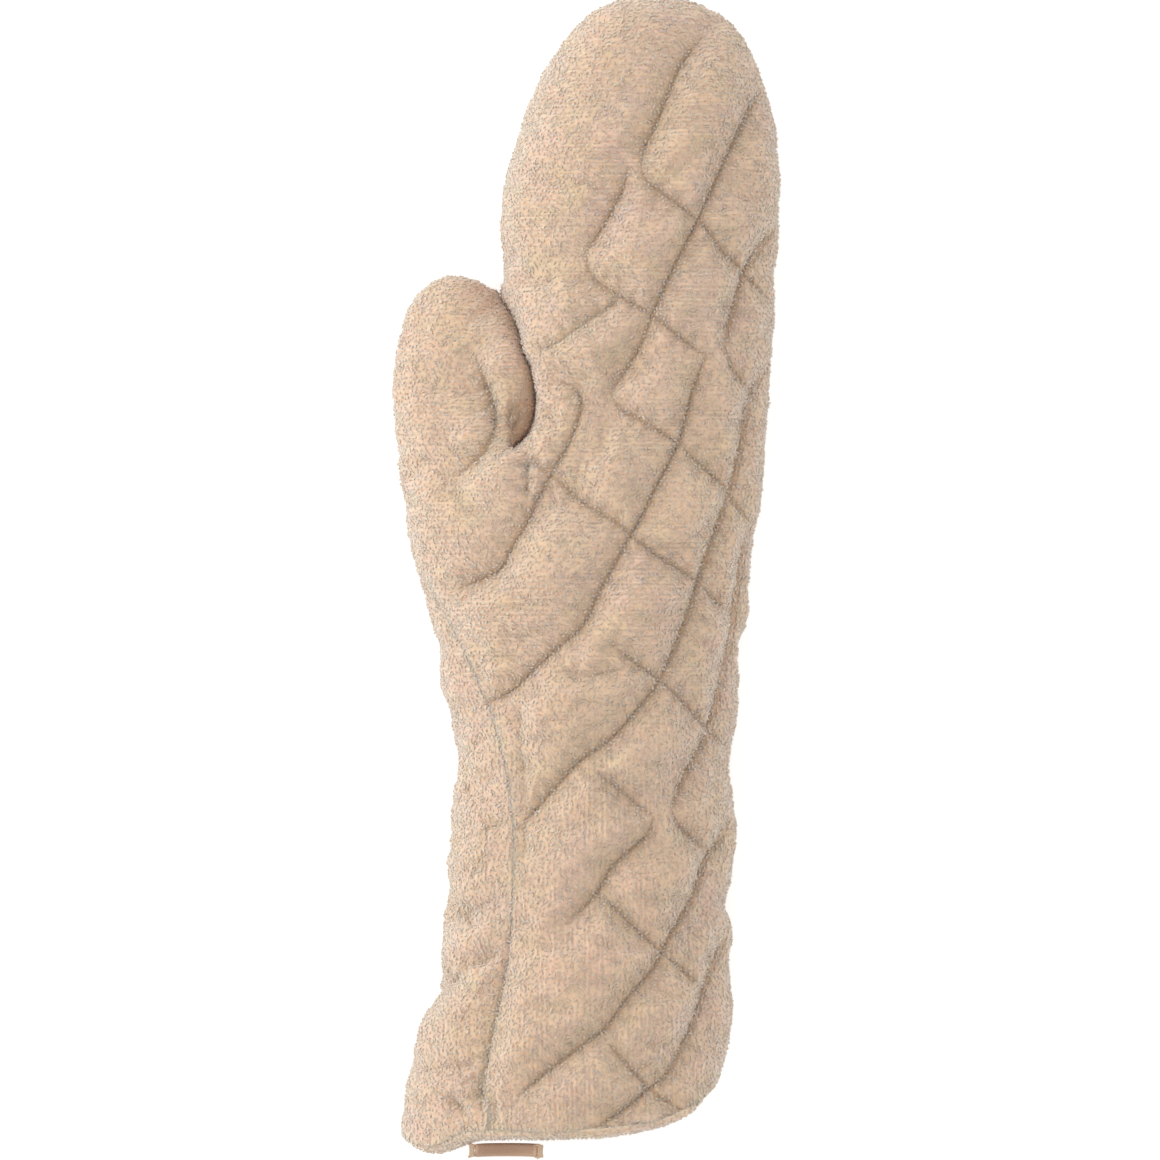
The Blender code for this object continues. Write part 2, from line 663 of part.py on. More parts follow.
def leg_faces(mitt, low, high):
    """The leg's outer face, between the rings of points that start at low and high, cut as the plies are."""
    count = len(mitt.hem)
    plan = np.vstack((mitt.hem_row(PLY_INSET), mitt.hem_row(HEM_DEPTH)[::-1]))
    split = [mitt.lands, 2 * count - 1 - mitt.lands]
    over = np.arange(count)
    under = (2 * count - 2 - over) % (2 * count - 2)
    faces = []
    for ring in (over, under):
        corners = np.concatenate((low + ring, high + ring[::-1]))
        faces.extend(corners[triangles(plan, [[*range(len(plan)), 0], split], plan)].tolist())
    return faces


def add_hem(mitt):
    """The cuff's terry hem: a cap over the ends of the plies, and a leg inside the cuff, with its thread."""
    stitched = HEM_DEPTH - HEM_STITCH_INSET
    profile = (
        (HEM_TOP, HEM_CAP), (BATTING_BED, HEM_CAP), (TERRY, HEM_CAP), (0, HEM_CAP), (0, HEM_ROUND),
        (HEM_ROUND, 0), (HEM_BED - HEM_ROUND, 0), (HEM_BED, HEM_ROUND), (HEM_BED, stitched),
        (HEM_BED, HEM_DEPTH), (HEM_TOP, HEM_DEPTH),
    )
    rings = [mitt.hem_ring(depth, inset) for depth, inset in profile]
    count = len(rings[0])
    faces = leg_faces(mitt, 0, count * (len(rings) - 1))
    for low in range(0, count * (len(rings) - 1), count):
        for k in range(count):
            on = (k + 1) % count
            faces.append((low + k, low + on, low + count + on, low + count + k))
    add_solid("cuff_hem", np.vstack(rings), faces, TERRY_COLOUR)
    add_thread("hem_thread", mitt.hem_ring(HEM_BED + THREAD_LIFT, stitched), ring=True)
    add_thread("side_seam_thread", mitt.seam_line(LINING_BED + THREAD_LIFT, HEM_DEPTH + HEM_ROUND))


def add_loop(mitt):
    """The hanging loop, a bent tape that turns about the line through its two ends, and its bartacks."""
    left, right = (mitt.hem_front(pixel) for pixel in LOOP_ENDS_PX)
    edge = min(left[1], right[1]) - LOOP_CLEARANCE - LOOP_TAPE_WIDTH / 2
    left[1] = right[1] = edge
    length = np.linalg.norm(right - left)
    along = (right - left) / length
    up = np.array((-along[2], 0, along[0]))
    way = np.array((along, (0, 1, 0), up))
    points = []
    for turn in np.linspace(0, math.pi, LOOP_STEPS + 1):
        for y in (-LOOP_TAPE_WIDTH / 2, LOOP_TAPE_WIDTH / 2):
            for inset in (0, LOOP_TAPE):
                u = length / 2 - (length / 2 - inset) * math.cos(turn)
                points.append(np.array((u, y, -(LOOP_SAG - inset) * math.sin(turn))) @ way)
    ring = (0, 1, 3, 2)
    faces = [ring, tuple(4 * LOOP_STEPS + k for k in ring)]
    for step in range(LOOP_STEPS):
        for a, b in zip(ring, ring[1:] + ring[:1]):
            faces.append((4 * step + a, 4 * step + b, 4 * step + 4 + b, 4 * step + 4 + a))
    loop = add_solid("hanging_loop", points, faces, TAPE_COLOUR)
    loop.location = left
    across = -LOOP_TAPE_WIDTH / 2, LOOP_TAPE_WIDTH / 2 + LOOP_CLEARANCE - PLY_GAP
    upright = -BARTACK_HEIGHT / 2, BARTACK_HEIGHT / 2
    for name, start in (("left", -PLY_GAP - BARTACK_LENGTH), ("right", length + PLY_GAP)):
        block = itertools.product((start, start + BARTACK_LENGTH), across, upright)
        corners = [np.array(corner) @ way for corner in block]
        sides = ((0, 1, 3, 2), (4, 5, 7, 6), (0, 1, 5, 4), (2, 3, 7, 6), (0, 2, 6, 4), (1, 3, 7, 5))
        bartack = add_solid(f"loop_bartack_{name}", corners, sides, THREAD_COLOUR, THREAD_ROUGHNESS)
        bartack.location = left
        bevel = bartack.modifiers.new("edges", "BEVEL")
        bevel.width = BARTACK_LENGTH / 4
        bevel.segments = 2


def main():
    """Clear the scene and make every piece of the mitt."""
    for item in list(bpy.data.objects):
        bpy.data.objects.remove(item)
    mitt = Mitt()
    add_plies(mitt)
    add_quilting(mitt)
    add_hem(mitt)
    add_loop(mitt)


main()
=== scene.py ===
"""The visible quilted terry oven mitt, laid out as a Blender add-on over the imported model."""

import json
import math

import bmesh
import bpy
import numpy as np
from bpy.props import FloatProperty, FloatVectorProperty, PointerProperty
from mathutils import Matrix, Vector, noise
from mathutils.bvhtree import BVHTree
from mathutils.geometry import delaunay_2d_cdt
from mathutils.kdtree import KDTree

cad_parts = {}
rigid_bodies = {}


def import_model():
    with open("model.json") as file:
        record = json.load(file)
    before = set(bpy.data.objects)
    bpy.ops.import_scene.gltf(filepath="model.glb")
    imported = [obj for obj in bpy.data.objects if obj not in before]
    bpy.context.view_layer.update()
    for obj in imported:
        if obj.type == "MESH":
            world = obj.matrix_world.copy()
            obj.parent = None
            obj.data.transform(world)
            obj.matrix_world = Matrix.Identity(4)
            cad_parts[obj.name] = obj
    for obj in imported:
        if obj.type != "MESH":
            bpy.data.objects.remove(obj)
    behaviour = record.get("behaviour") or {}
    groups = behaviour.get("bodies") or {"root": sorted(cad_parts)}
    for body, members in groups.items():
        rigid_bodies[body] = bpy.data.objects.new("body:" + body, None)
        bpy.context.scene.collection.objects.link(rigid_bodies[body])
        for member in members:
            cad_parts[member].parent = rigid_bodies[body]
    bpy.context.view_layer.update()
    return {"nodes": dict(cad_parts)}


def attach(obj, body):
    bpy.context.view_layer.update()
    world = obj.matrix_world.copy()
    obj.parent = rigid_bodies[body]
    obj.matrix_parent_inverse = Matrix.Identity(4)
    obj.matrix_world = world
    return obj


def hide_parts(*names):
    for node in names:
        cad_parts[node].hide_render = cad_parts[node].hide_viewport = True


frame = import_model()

bl_info = {
    "name": "Terry Oven Mitt",
    "version": (1, 0, 0),
    "blender": (4, 5, 0),
    "location": "View3D > Sidebar > Mitt",
    "description": "A long-cuffed, quilted terry oven mitt with its lining, stitches and hanging loop",
    "category": "Object",
}

# The mitt in metres, and the photograph's pixels that bound it
MITT_LENGTH = 0.432
MITT_WIDTH = 0.145
PHOTO_MIDDLE_PX = 585.5
PHOTO_LOW_PX = 1155.6
PIXEL_ACROSS = MITT_WIDTH / 388
PIXEL_ALONG = MITT_LENGTH / 1157
PHOTO_CENTRE_PX = (580, 580)
FRAME_SIZE = 0.4335

# The seam's height, how far each side swells from it, and the least height of the cloth and of its yarn
SEAM_HEIGHT = 0.028
FRONT_SWELL_SHARE = 0.80
REAR_REACH = 0.317 * MITT_WIDTH
CLOTH_FLOOR = 0.0012
YARN_FLOOR = 0.00002

# The flat mesh that the cloth is cut in: its spacings, the graded rows beside its seam, and the film over it
CELL = 0.0034
ROW_STEP = 0.9 * CELL
NEAR_STEP = 0.00035
RIM_ROWS = (0.0001, 0.0004, 0.0009, 0.0016, 0.0025)
HEM_RIM_ROW = 0.0042
RIM_CLEAR = 0.8
GRID_CLEAR = 0.6
CURVE_STEPS = 12
LOOSE_SHARE = 1e-9
AT_ONCE = 2000
FILM_ROUNDS = (3000, 400, 160)
FILM_CLOSE = 1e-12

# The slit between thumb and hand, and how the cloth beside it rises and leans over it
SLIT_WIDTH = 0.0012
SLIT_RISE = 0.013
SLIT_RAMP = 0.022
SLIT_SIDE = 0.030
SLIT_PRESS = 0.009
SLIT_LEAN = 0.85
SLIT_PUSH_REACH = 0.006

# The hem: its cut row and depth from the cuff's end, its room over the plies, and its section's bulge
HEM_CUT = 0.0030
HEM_DEPTH = 0.014
HEM_TURN = 0.035
HEM_ROOM = 0.0004
HEM_SKIN = 0.0001
HEM_ROUND = 0.8
HEM_BULGE = ((0.0, 0.007), (0.0003, 0.0105))
HEM_BAND_ROWS, HEM_TURN_STEPS, HEM_ROUNDINGS = 4, 9, 2
PLY_SHORT = 0.35

# How the cloth is drawn in, gathered and given painted shade beside its rows, folds and seams
END_SHARE = 0.35
NO_TAPER = 0.001
ROW_TAPER = 0.008
FOLD_TAPER = 0.006
SEAM_TAPER = 0.015
SEAM_REACH = 0.008
FOLD_REACH_SHARE = 0.8
NARROW_SHARE = 0.45
TURNED_SHARES = (0.12, 1.0)
# Painted shade beside the lines: its strength on light rows, the turned seam, folds and side seam, and the
# narrow groove's share of it
LIGHT_ROW_SHADE, TURNED_SEAM_SHADE, FOLD_AND_SEAM_SHADE = 0.8, 0.5, 0.4
GROOVE_SHADE_SHARE = 0.6
PUCKER_NEAR, PUCKER_FAR, PUCKER_PITCH, PUCKER_DRIFT = 0.0012, 0.0055, 0.0066, 2

# The cloth's unevenness: how far a row holds it, its ribs, and its bumps, each with its height, size and seed
LOOSE_REACH = 0.006
WAVE_REACH = 0.02
RIB_SHARE, RIB_DRIFT = 0.7, 3
RIB_PITCHES = (0.0021, 0.0019)
RIBS_TURN_Y, RIBS_TURN = -0.03, 0.04
CRUMPLES = ((0.9, 0.019, 1), (0.5, 0.0075, 2))
WAVES = ((2.2, 0.048, 12),)
PEBBLES = ((1.0, 0.0021, 3),)
DRIFTS = ((1.0, 0.02, 11),)
RIB_DRIFTS = ((1.0, 0.03, 8),)
FLOOR_BUMPS = ((0.1, 0.012, 6),)
HEM_BUMPS = ((0.00035, 0.009, 4), (0.00018, 0.0021, 3))
SEED_SHIFTS = (3.7, 1.3, 2.1)

# The simulation that blows the cloth up between its rows, and how it is laid back on the fine mesh
LAST_FRAME = 20
CLOTH_QUALITY = 5
CLOTH_MASS = 0.02
CLOTH_TENSION = 5.0
CLOTH_BENDING = 0.1
CLOTH_SLACK = 0.05
PIN_REACH, PIN_FADE = 0.0065, 0.003
HEM_PINNED_Y = -0.195
NEIGHBOURS = 4
HELD_REACH = 0.004
SMOOTH_ROUNDS = 12

# The outline, from the hem up the left side, round the slit and down the right side, and the hem's own edge
LEFT_EDGE_PX = (
    (402, 1141), (401, 1120), (407, 1088), (414, 1055), (420, 1028), (431, 1008), (441, 988), (442, 958),
    (444, 938), (445, 915), (449, 895), (449, 850), (454, 800), (458, 765), (456, 735), (450, 706),
    (441, 685), (440, 658), (433, 625), (425, 596), (414, 565), (405, 515), (398, 465), (393, 415),
    (391, 385), (397, 335), (408, 303), (428, 281), (452, 273), (476, 278), (491, 288),
)
SLIT_PX = ((502, 300), (512, 314), (522, 339), (531, 367), (536, 392), (534, 416), (526, 436), (514, 446))
RIGHT_EDGE_PX = (
    (504, 275), (502, 250), (501, 225), (504, 190), (511, 160), (519, 130), (530, 100), (544, 70), (562, 43),
    (586, 18), (614, 2), (650, -4), (688, 0), (718, 12), (742, 36), (758, 66), (769, 98), (776, 128),
    (779, 160), (779, 210), (777, 260), (774, 310), (771, 360), (767, 415), (765, 465), (758, 515),
    (750, 560), (748, 605), (742, 633), (737, 655), (738, 690), (737, 715), (731, 745), (729, 768),
    (732, 795), (736, 822), (735, 845), (731, 875), (726, 903), (732, 925), (733, 940), (729, 960),
    (730, 1000), (727, 1035), (721, 1063), (714, 1088),
)
HEM_EDGE_PX = (
    (714, 1088), (704, 1101), (691, 1113), (668, 1123), (642, 1129), (612, 1133), (580, 1135), (540, 1136),
    (500, 1136), (470, 1138), (452, 1144), (437, 1151), (420, 1151), (402, 1141),
)
# Where the left side seam turns over the front of the cuff, and the zigzag sewn left of it
TURNED_SEAM_PX = (
    (414, 565), (430, 590), (450, 625), (470, 665), (487, 705), (501, 750), (510, 800), (513, 860),
    (511, 915), (504, 960), (495, 1005), (486, 1050), (482, 1085),
)
CUFF_SIDE_ROW_PX = ((478, 735), (463, 775), (487, 835), (464, 900), (487, 965), (458, 1030), (463, 1090))
# The front's quilting: rows that lean to the right, sewn deep, and rows that lean to the left, sewn lighter
DEEP_ROWS_PX = (
    ((700, 40), (680, 67), (657, 122), (644, 148), (640, 168)),
    ((627, 170), (621, 192), (606, 220), (584, 255)),
    ((758, 96), (747, 120), (725, 166), (699, 222), (675, 268), (652, 317), (639, 348), (611, 392)),
    ((563, 383), (577, 392), (582, 407), (571, 438), (555, 470), (533, 511), (511, 546), (498, 569),
     (460, 588)),
    ((773, 233), (752, 265), (742, 289), (729, 332), (725, 348)),
    ((705, 360), (694, 393), (679, 445), (658, 485), (641, 519), (602, 587), (583, 625), (561, 644),
     (535, 667), (510, 690), (487, 703)),
    ((768, 366), (751, 405), (743, 450), (735, 485), (725, 513), (705, 568), (687, 623), (662, 678),
     (632, 717), (609, 740), (581, 759), (558, 782), (535, 807), (519, 825)),
    ((750, 530), (738, 600), (731, 649), (714, 722), (708, 740), (696, 759), (672, 806)),
    ((653, 819), (648, 834), (636, 845), (612, 866), (598, 890), (568, 920)),
    ((729, 822), (721, 843), (708, 859), (696, 896), (675, 930), (655, 967), (630, 994), (606, 1025),
     (581, 1043), (547, 1068), (519, 1091)),
    ((726, 939), (708, 985), (696, 1022), (671, 1068), (652, 1085), (616, 1112), (595, 1124)),
    ((526, 401), (512, 415), (510, 443)),
    ((498, 425), (481, 451), (460, 474)),
)
LIGHT_ROWS_PX = (
    ((641, 172), (648, 184), (699, 222), (725, 254), (741, 268), (766, 297)),
    ((586, 262), (592, 280), (621, 299), (653, 317), (680, 338), (704, 356)),
    ((726, 352), (733, 368), (751, 393)),
    ((611, 397), (617, 407), (633, 417), (664, 434), (684, 450), (715, 477), (727, 489), (748, 520)),
    ((524, 453), (545, 472), (558, 481), (586, 505), (617, 523), (643, 545), (698, 582), (728, 612)),
    ((613, 646), (662, 681), (687, 704), (724, 745)),
    ((597, 772), (620, 788), (651, 814)),
    ((672, 811), (681, 826), (708, 850)),
    ((597, 890), (616, 907), (650, 939), (675, 960), (701, 985)),
    ((604, 1036), (650, 1084), (692, 1114)),
    ((476, 361), (481, 377), (486, 396), (498, 425)),
)
# Creases that aren't sewn, each with its share of a sewn row's depth
FOLDS_PX = (
    (1.2, ((532, 352), (549, 346), (590, 321), (621, 299))),
    (1.3, ((525, 450), (527, 478), (526, 505))),
    (0.7, ((566, 383), (582, 405))),
    (0.9, ((543, 402), (549, 416), (556, 430))),
    (1.4, ((480, 372), (487, 392), (498, 424), (482, 450), (462, 468))),
    (1.4, ((513, 440), (521, 424), (527, 404))),
    (0.6, ((440, 430), (452, 446), (458, 462))),
    (0.6, ((495, 632), (518, 634), (540, 632))),
    (0.6, ((500, 655), (520, 657), (538, 655))),
    (0.8, ((561, 669), (595, 673), (630, 667))),
    (0.5, ((505, 608), (530, 604), (556, 606))),
    (0.5, ((581, 805), (607, 802))),
    (0.5, ((478, 648), (481, 668), (487, 685))),
    (0.9, ((503, 948), (470, 966), (444, 986))),
    (0.8, ((504, 893), (472, 908), (448, 922))),
    (0.6, ((508, 820), (480, 832), (455, 842))),
    (0.7, ((484, 1062), (455, 1064), (420, 1072))),
    (1.1, ((446, 1091), (458, 1104), (469, 1116))),
    (1.2, ((505, 945), (499, 985), (491, 1020), (484, 1055), (479, 1085), (481, 1112))),
    (0.7, ((515, 690), (520, 745), (524, 800), (524, 860))),
    (0.5, ((643, 1045), (657, 1039))),
    (0.5, ((661, 1074), (668, 1068), (674, 1065))),
    (0.5, ((680, 1065), (680, 1088))),
    (0.4, ((560, 600), (586, 622))),
    (0.8, ((489, 1085), (494, 1104), (492, 1122))),
    (0.6, ((502, 1095), (507, 1114))),
)
# The underside's diamonds
REAR_PITCH = 0.0512
REAR_ROWS = 5

# Each lining's blank, width and length, and its area once cut
LINING_CUTS = {"front": ((0.170, 0.440), 0.047), "rear": ((0.200, 0.440), 0.059)}
PRESSED_SHARE = 0.6

# How deep the threads lie
STITCH_LIFT = 0.0001
SEAM_THREAD_DEPTH, SEAM_THREAD_END = 0.0006, 5
HEM_THREAD_DEPTH, HEM_THREAD_INSET = 0.0010, 0.011

# The terry's yarn loops: the most on a square metre, how far an arch passes a half circle, how they lean and
# differ in size and tone, and where they are parted in two pieces
MOST_LOOPS = 1.2e6
LOOP_PAST = 0.5
LOOP_LEAN = (0.5, 0.7, math.pi)
LOOP_SCALES = (0.75, 1.25)
LOOP_TONES = (0.0, 0.6)
LOOPS_PART = 0.0

# Finishes: the sizes of their features, the depths of their bumps, and the light that a darker tone keeps
BLUSH_SIZE, STRAW_SIZE, SPECK_SIZE, WORN_SIZE = 0.030, 0.011, 0.0016, 0.025
KNOB_SIZE, FIBRE_SIZE, FLUFF_SIZE, TWIST_SIZE, SOIL_SIZE = 0.0015, 0.0005, 0.003, 0.0006, 0.014
RIB_FINISH_PITCHES = (0.0016, 0.0014)
LINING_PITCH = 0.0009
TWILL_PITCH, TWILL_LEAN = 0.0007, 0.6
WAVE_PITCH = math.pi / 10
KNOB_BUMP, LOOP_BUMP, FIBRE_BUMP, FLUFF_BUMP, TWIST_BUMP = 0.0004, 0.0001, 0.0002, 0.0008, 0.0001
SPECK_LIGHT, RIB_LIGHT, LOOP_LIGHT = 0.90, 0.88, 0.94
GAP_LIGHT, SOIL_LIGHT, FLUFF_LIGHT, TWIST_LIGHT = 0.78, 0.86, 0.82, 0.70
GREY = (0.5, 0.5, 0.5, 1.0)

# The line that the hanging loop turns about, the tape's section and the bartacks beside its ends
LOOP_ENDS = ((-0.04113, -0.21317, 0.05877), (-0.01794, -0.21317, 0.06678))
TAPE_STEPS = 48
TAPE_CROWN = 0.0001
BARTACK_AWAY, BARTACK_HALF = 0.0012, 0.0008
BARTACK_ROWS, BARTACK_REACH = 9, 0.9
BARTACK_STITCH = {"Pitch": 0.0009, "Length": 0.0019, "Radius": 0.0012}

# The stage
FLOOR_REACH = 4.0
FLOOR_COLOUR = (0.86, 0.86, 0.86, 1.0)
FLOOR_GLOW = 0.45
SENSOR_WIDTH = 36.0
VIEW_END = 100.0
KEY_SIZE = 1.2
KEY_PLACE = (-1.15, 0.4, 0.8)
WHITE = (1.0, 1.0, 1.0, 1.0)


def from_photo(pixels):
    """Places seen from above of points read off the photograph."""
    pixels = np.asarray(pixels, float).reshape(-1, 2)
    across = (pixels[:, 0] - PHOTO_MIDDLE_PX) * PIXEL_ACROSS
    along = (PHOTO_LOW_PX - pixels[:, 1]) * PIXEL_ALONG - MITT_LENGTH / 2
    return np.column_stack((across, along))


def travel(line):
    """The distance run along a polyline up to each of its points."""
    return np.concatenate(([0], np.cumsum(np.linalg.norm(np.diff(line, axis=0), axis=1))))


def at_travel(line, distances):
    """Points of a polyline at distances along it."""
    run = travel(line)
    return np.column_stack([np.interp(distances, run, line[:, k]) for k in range(line.shape[1])])


def spaced(line, step):
    """The same polyline with even points about one step apart."""
    length = travel(line)[-1]
    return at_travel(line, np.linspace(0, length, max(1, round(length / step)) + 1))


def curve(points):
    """A fine polyline on the Catmull-Rom curve through the given points."""
    points = np.asarray(points, float)
    padded = np.vstack((2 * points[0] - points[1], points, 2 * points[-1] - points[-2]))
    t = np.linspace(0, 1, CURVE_STEPS, endpoint=False)[:, None]
    fine = []
    for a, b, c, d in zip(padded, padded[1:], padded[2:], padded[3:]):
        bend = 2 * a - 5 * b + 4 * c - d
        twist = 3 * (b - c) + d - a
        fine.append(b + ((c - a) * t + bend * t**2 + twist * t**3) / 2)
    return np.vstack((*fine, points[-1:]))


def left_of(line):
    """Unit vectors that point to the left of a flat polyline, at its points."""
    way = np.gradient(line, axis=0)
    way /= np.linalg.norm(way, axis=1)[:, None]
    return np.column_stack((-way[:, 1], way[:, 0]))


def closed_ring(points):
    """A ring's points with the first one repeated at the end."""
    return np.vstack((points, points[:1]))


def raised(points):
    """Flat points as points in space, at no height."""
    return np.column_stack((points, np.zeros(len(points))))


def point_tree(points):
    """A search tree over points in space."""
    tree = KDTree(len(points))
    for k, point in enumerate(points):
        tree.insert(point, k)
    tree.balance()
    return tree


def parted(points):
    """The points in parts that are few enough to be worked on at once."""
    return np.array_split(points, len(points) // AT_ONCE + 1)


def inside(points, polygon):
    """Which points lie within a polygon, by counting the sides that a ray crosses."""
    ax, ay = polygon[:, 0], polygon[:, 1]
    bx, by = np.roll(ax, -1), np.roll(ay, -1)
    rise = np.where(by == ay, 1, by - ay)
    odd = []
    for part in parted(points):
        x, y = part[:, 0, None], part[:, 1, None]
        crossed = ((ay > y) != (by > y)) & (x < (bx - ax) * (y - ay) / rise + ax)
        odd.append(crossed.sum(axis=1) % 2 == 1)
    return np.concatenate(odd)


def distance_to(points, lines):
    """Each flat point's distance to the nearest of several polylines."""
    starts = np.vstack([line[:-1] for line in lines])
    runs = np.vstack([np.diff(line, axis=0) for line in lines])
    least = []
    for part in parted(points):
        share = ((part[:, None] - starts) * runs).sum(axis=2) / (runs**2).sum(axis=1)
        nearest = starts + np.clip(share, 0, 1)[:, :, None] * runs
        least.append(np.linalg.norm(part[:, None] - nearest, axis=2).min(axis=1))
    return np.concatenate(least)


def spread(low, high, step):
    """A triangular grid of points over a rectangle."""
    rows = []
    for k, y in enumerate(np.arange(low[1], high[1], step * math.sqrt(3) / 2)):
        xs = np.arange(low[0] + (k % 2) * step / 2, high[0], step)
        rows.append(np.column_stack((xs, np.full(len(xs), y))))
    return np.vstack(rows)


def halved(faces, count):
    """Each triangle cut in four at the middles of its sides, and the two ends of every side cut."""
    sides = np.sort(faces[:, [[0, 1], [1, 2], [2, 0]]].reshape(-1, 2), axis=1)
    ends, back = np.unique(sides, axis=0, return_inverse=True)
    a, b, c = faces.T
    ab, bc, ca = (count + back.reshape(-1, 3)).T
    quarters = ((a, ab, ca), (ab, b, bc), (ca, bc, c), (ab, bc, ca))
    return np.vstack([np.column_stack(quarter) for quarter in quarters]), ends


def with_middles(values, ends):
    """Values at points, followed by those at the middles of the cut sides."""
    return np.concatenate((values, values[ends].mean(axis=1)))


def blown(points, faces, free, guess, rounds):
    """The deflection of a flat film under even pressure, held where it isn't free.

    Its double's root is the swell: a half circle over a straight tube, closed round every end.
    """
    corners = points[faces]
    edges = np.roll(corners, -2, axis=1) - np.roll(corners, -1, axis=1)
    area = np.abs(edges[:, 0, 0] * edges[:, 1, 1] - edges[:, 0, 1] * edges[:, 1, 0]) / 2
    local = np.einsum("fik,fjk->fij", edges, edges) / (4 * area)[:, None, None]
    flat, count = faces.ravel(), len(points)

    def gathered(values):
        return np.bincount(flat, values.ravel(), count)

    def pulled(values):
        return gathered(np.einsum("fij,fj->fi", local, values[faces])) * free

    stiff = gathered(np.einsum("fii->fi", local))
    load = gathered(np.repeat(area / 3, 3).reshape(-1, 3))
    height = guess * free
    rest = load * free - pulled(height)
    way = rest / stiff
    size = first = rest @ way
    for _ in range(rounds):
        moved = pulled(way)
        step = size / (way @ moved)
        height += step * way
        rest -= step * moved
        fresh = rest @ (rest / stiff)
        if fresh < FILM_CLOSE * first:
            break
        way = rest / stiff + fresh / size * way
        size = fresh
    return np.maximum(height, 0)


def normals_of(places, faces):
    """Unit normals at the points of a mesh, each face counted by its area."""
    corners = places[faces]
    face = np.cross(corners[:, 1] - corners[:, 0], corners[:, 2] - corners[:, 0])
    total = np.column_stack([
        np.bincount(faces.ravel(), np.repeat(face[:, k], 3), len(places)) for k in range(3)
    ])
    return total / np.maximum(np.linalg.norm(total, axis=1), 1e-20)[:, None]


class Side:
    """One side of the bag laid flat: its triangles, the seam's points first, and where its sewn rows run."""

    def __init__(self, outline, hem, rows, sewn, turned=None):
        self.border = np.vstack((outline, hem[1:-1]))
        self.closed = closed_ring(self.border)
        self.sewn = [line for line in map(self.trimmed, sewn) if len(line) > 3]
        groups, chains = [self.border], [[*range(len(self.border)), 0]]
        self.row_points = [[len(outline) - 1, *range(len(outline), len(self.border)), 0]]
        for row in rows:
            start = sum(map(len, groups))
            ends = [int(np.linalg.norm(self.border - end, axis=1).argmin()) for end in (row[0], row[-1])]
            chain = [ends[0], *range(start, start + len(row) - 2), ends[1]]
            self.row_points.append(chain)
            chains.append(chain)
            groups.append(row[1:-1])
        kept = [*self.sewn, turned] if turned is not None else self.sewn
        for line in kept:
            start = sum(map(len, groups))
            chains.append(range(start, start + len(line)))
            groups.append(line)
        rims = [(outline - left_of(outline) * inset, RIM_CLEAR * inset) for inset in RIM_ROWS]
        grid = spread(self.border.min(axis=0), self.border.max(axis=0), CELL)
        for points, clear in (*rims, (grid, GRID_CLEAR * CELL)):
            good = inside(points, self.border) & (distance_to(points, [self.closed]) > clear)
            good &= distance_to(points, [*rows, *kept]) > min(clear, CELL / 4)
            points = points[good]
            tree = point_tree(raised(np.vstack(groups)))
            apart = np.array([tree.find(place)[2] for place in raised(points)])
            groups.append(points[apart > clear])
        self.cut(np.vstack(groups), chains)

    def trimmed(self, line):
        """The longest stretch of a sewn row that lies within the border, well clear of it."""
        good = inside(line, self.border) & (distance_to(line, [self.closed]) > CELL / 2)
        pieces = np.split(np.arange(len(line)), np.flatnonzero(np.diff(good)) + 1)
        return line[max((piece for piece in pieces if good[piece[0]]), key=len, default=[])]

    def cut(self, points, chains):
        """Delaunay triangles of the points within the border, that keep each chain of points as edges."""
        edges = [(int(a), int(b)) for chain in chains for a, b in zip(chain, list(chain)[1:])]
        size = np.ptp(points, axis=0).max()
        made = delaunay_2d_cdt([Vector(p / size) for p in points], edges, [], 0, LOOSE_SHARE)
        self.points = np.array([(p.x, p.y) for p in made[0]]) * size
        number = np.full(len(points), -1)
        for new, olds in enumerate(made[3]):
            number[list(olds)] = new
        border = np.arange(len(self.border))
        if (number[border] != border).any():
            raise RuntimeError("the border's points were joined or moved")
        self.points[border] = self.border
        self.row_points = [number[chain] for chain in self.row_points]
        faces = np.array(made[2])
        corners = self.points[faces]
        along, aside = corners[:, 1] - corners[:, 0], corners[:, 2] - corners[:, 0]
        area = (along[:, 0] * aside[:, 1] - along[:, 1] * aside[:, 0]) / size**2
        self.faces = faces[inside(corners.mean(axis=1), self.border) & (area > LOOSE_SHARE)]


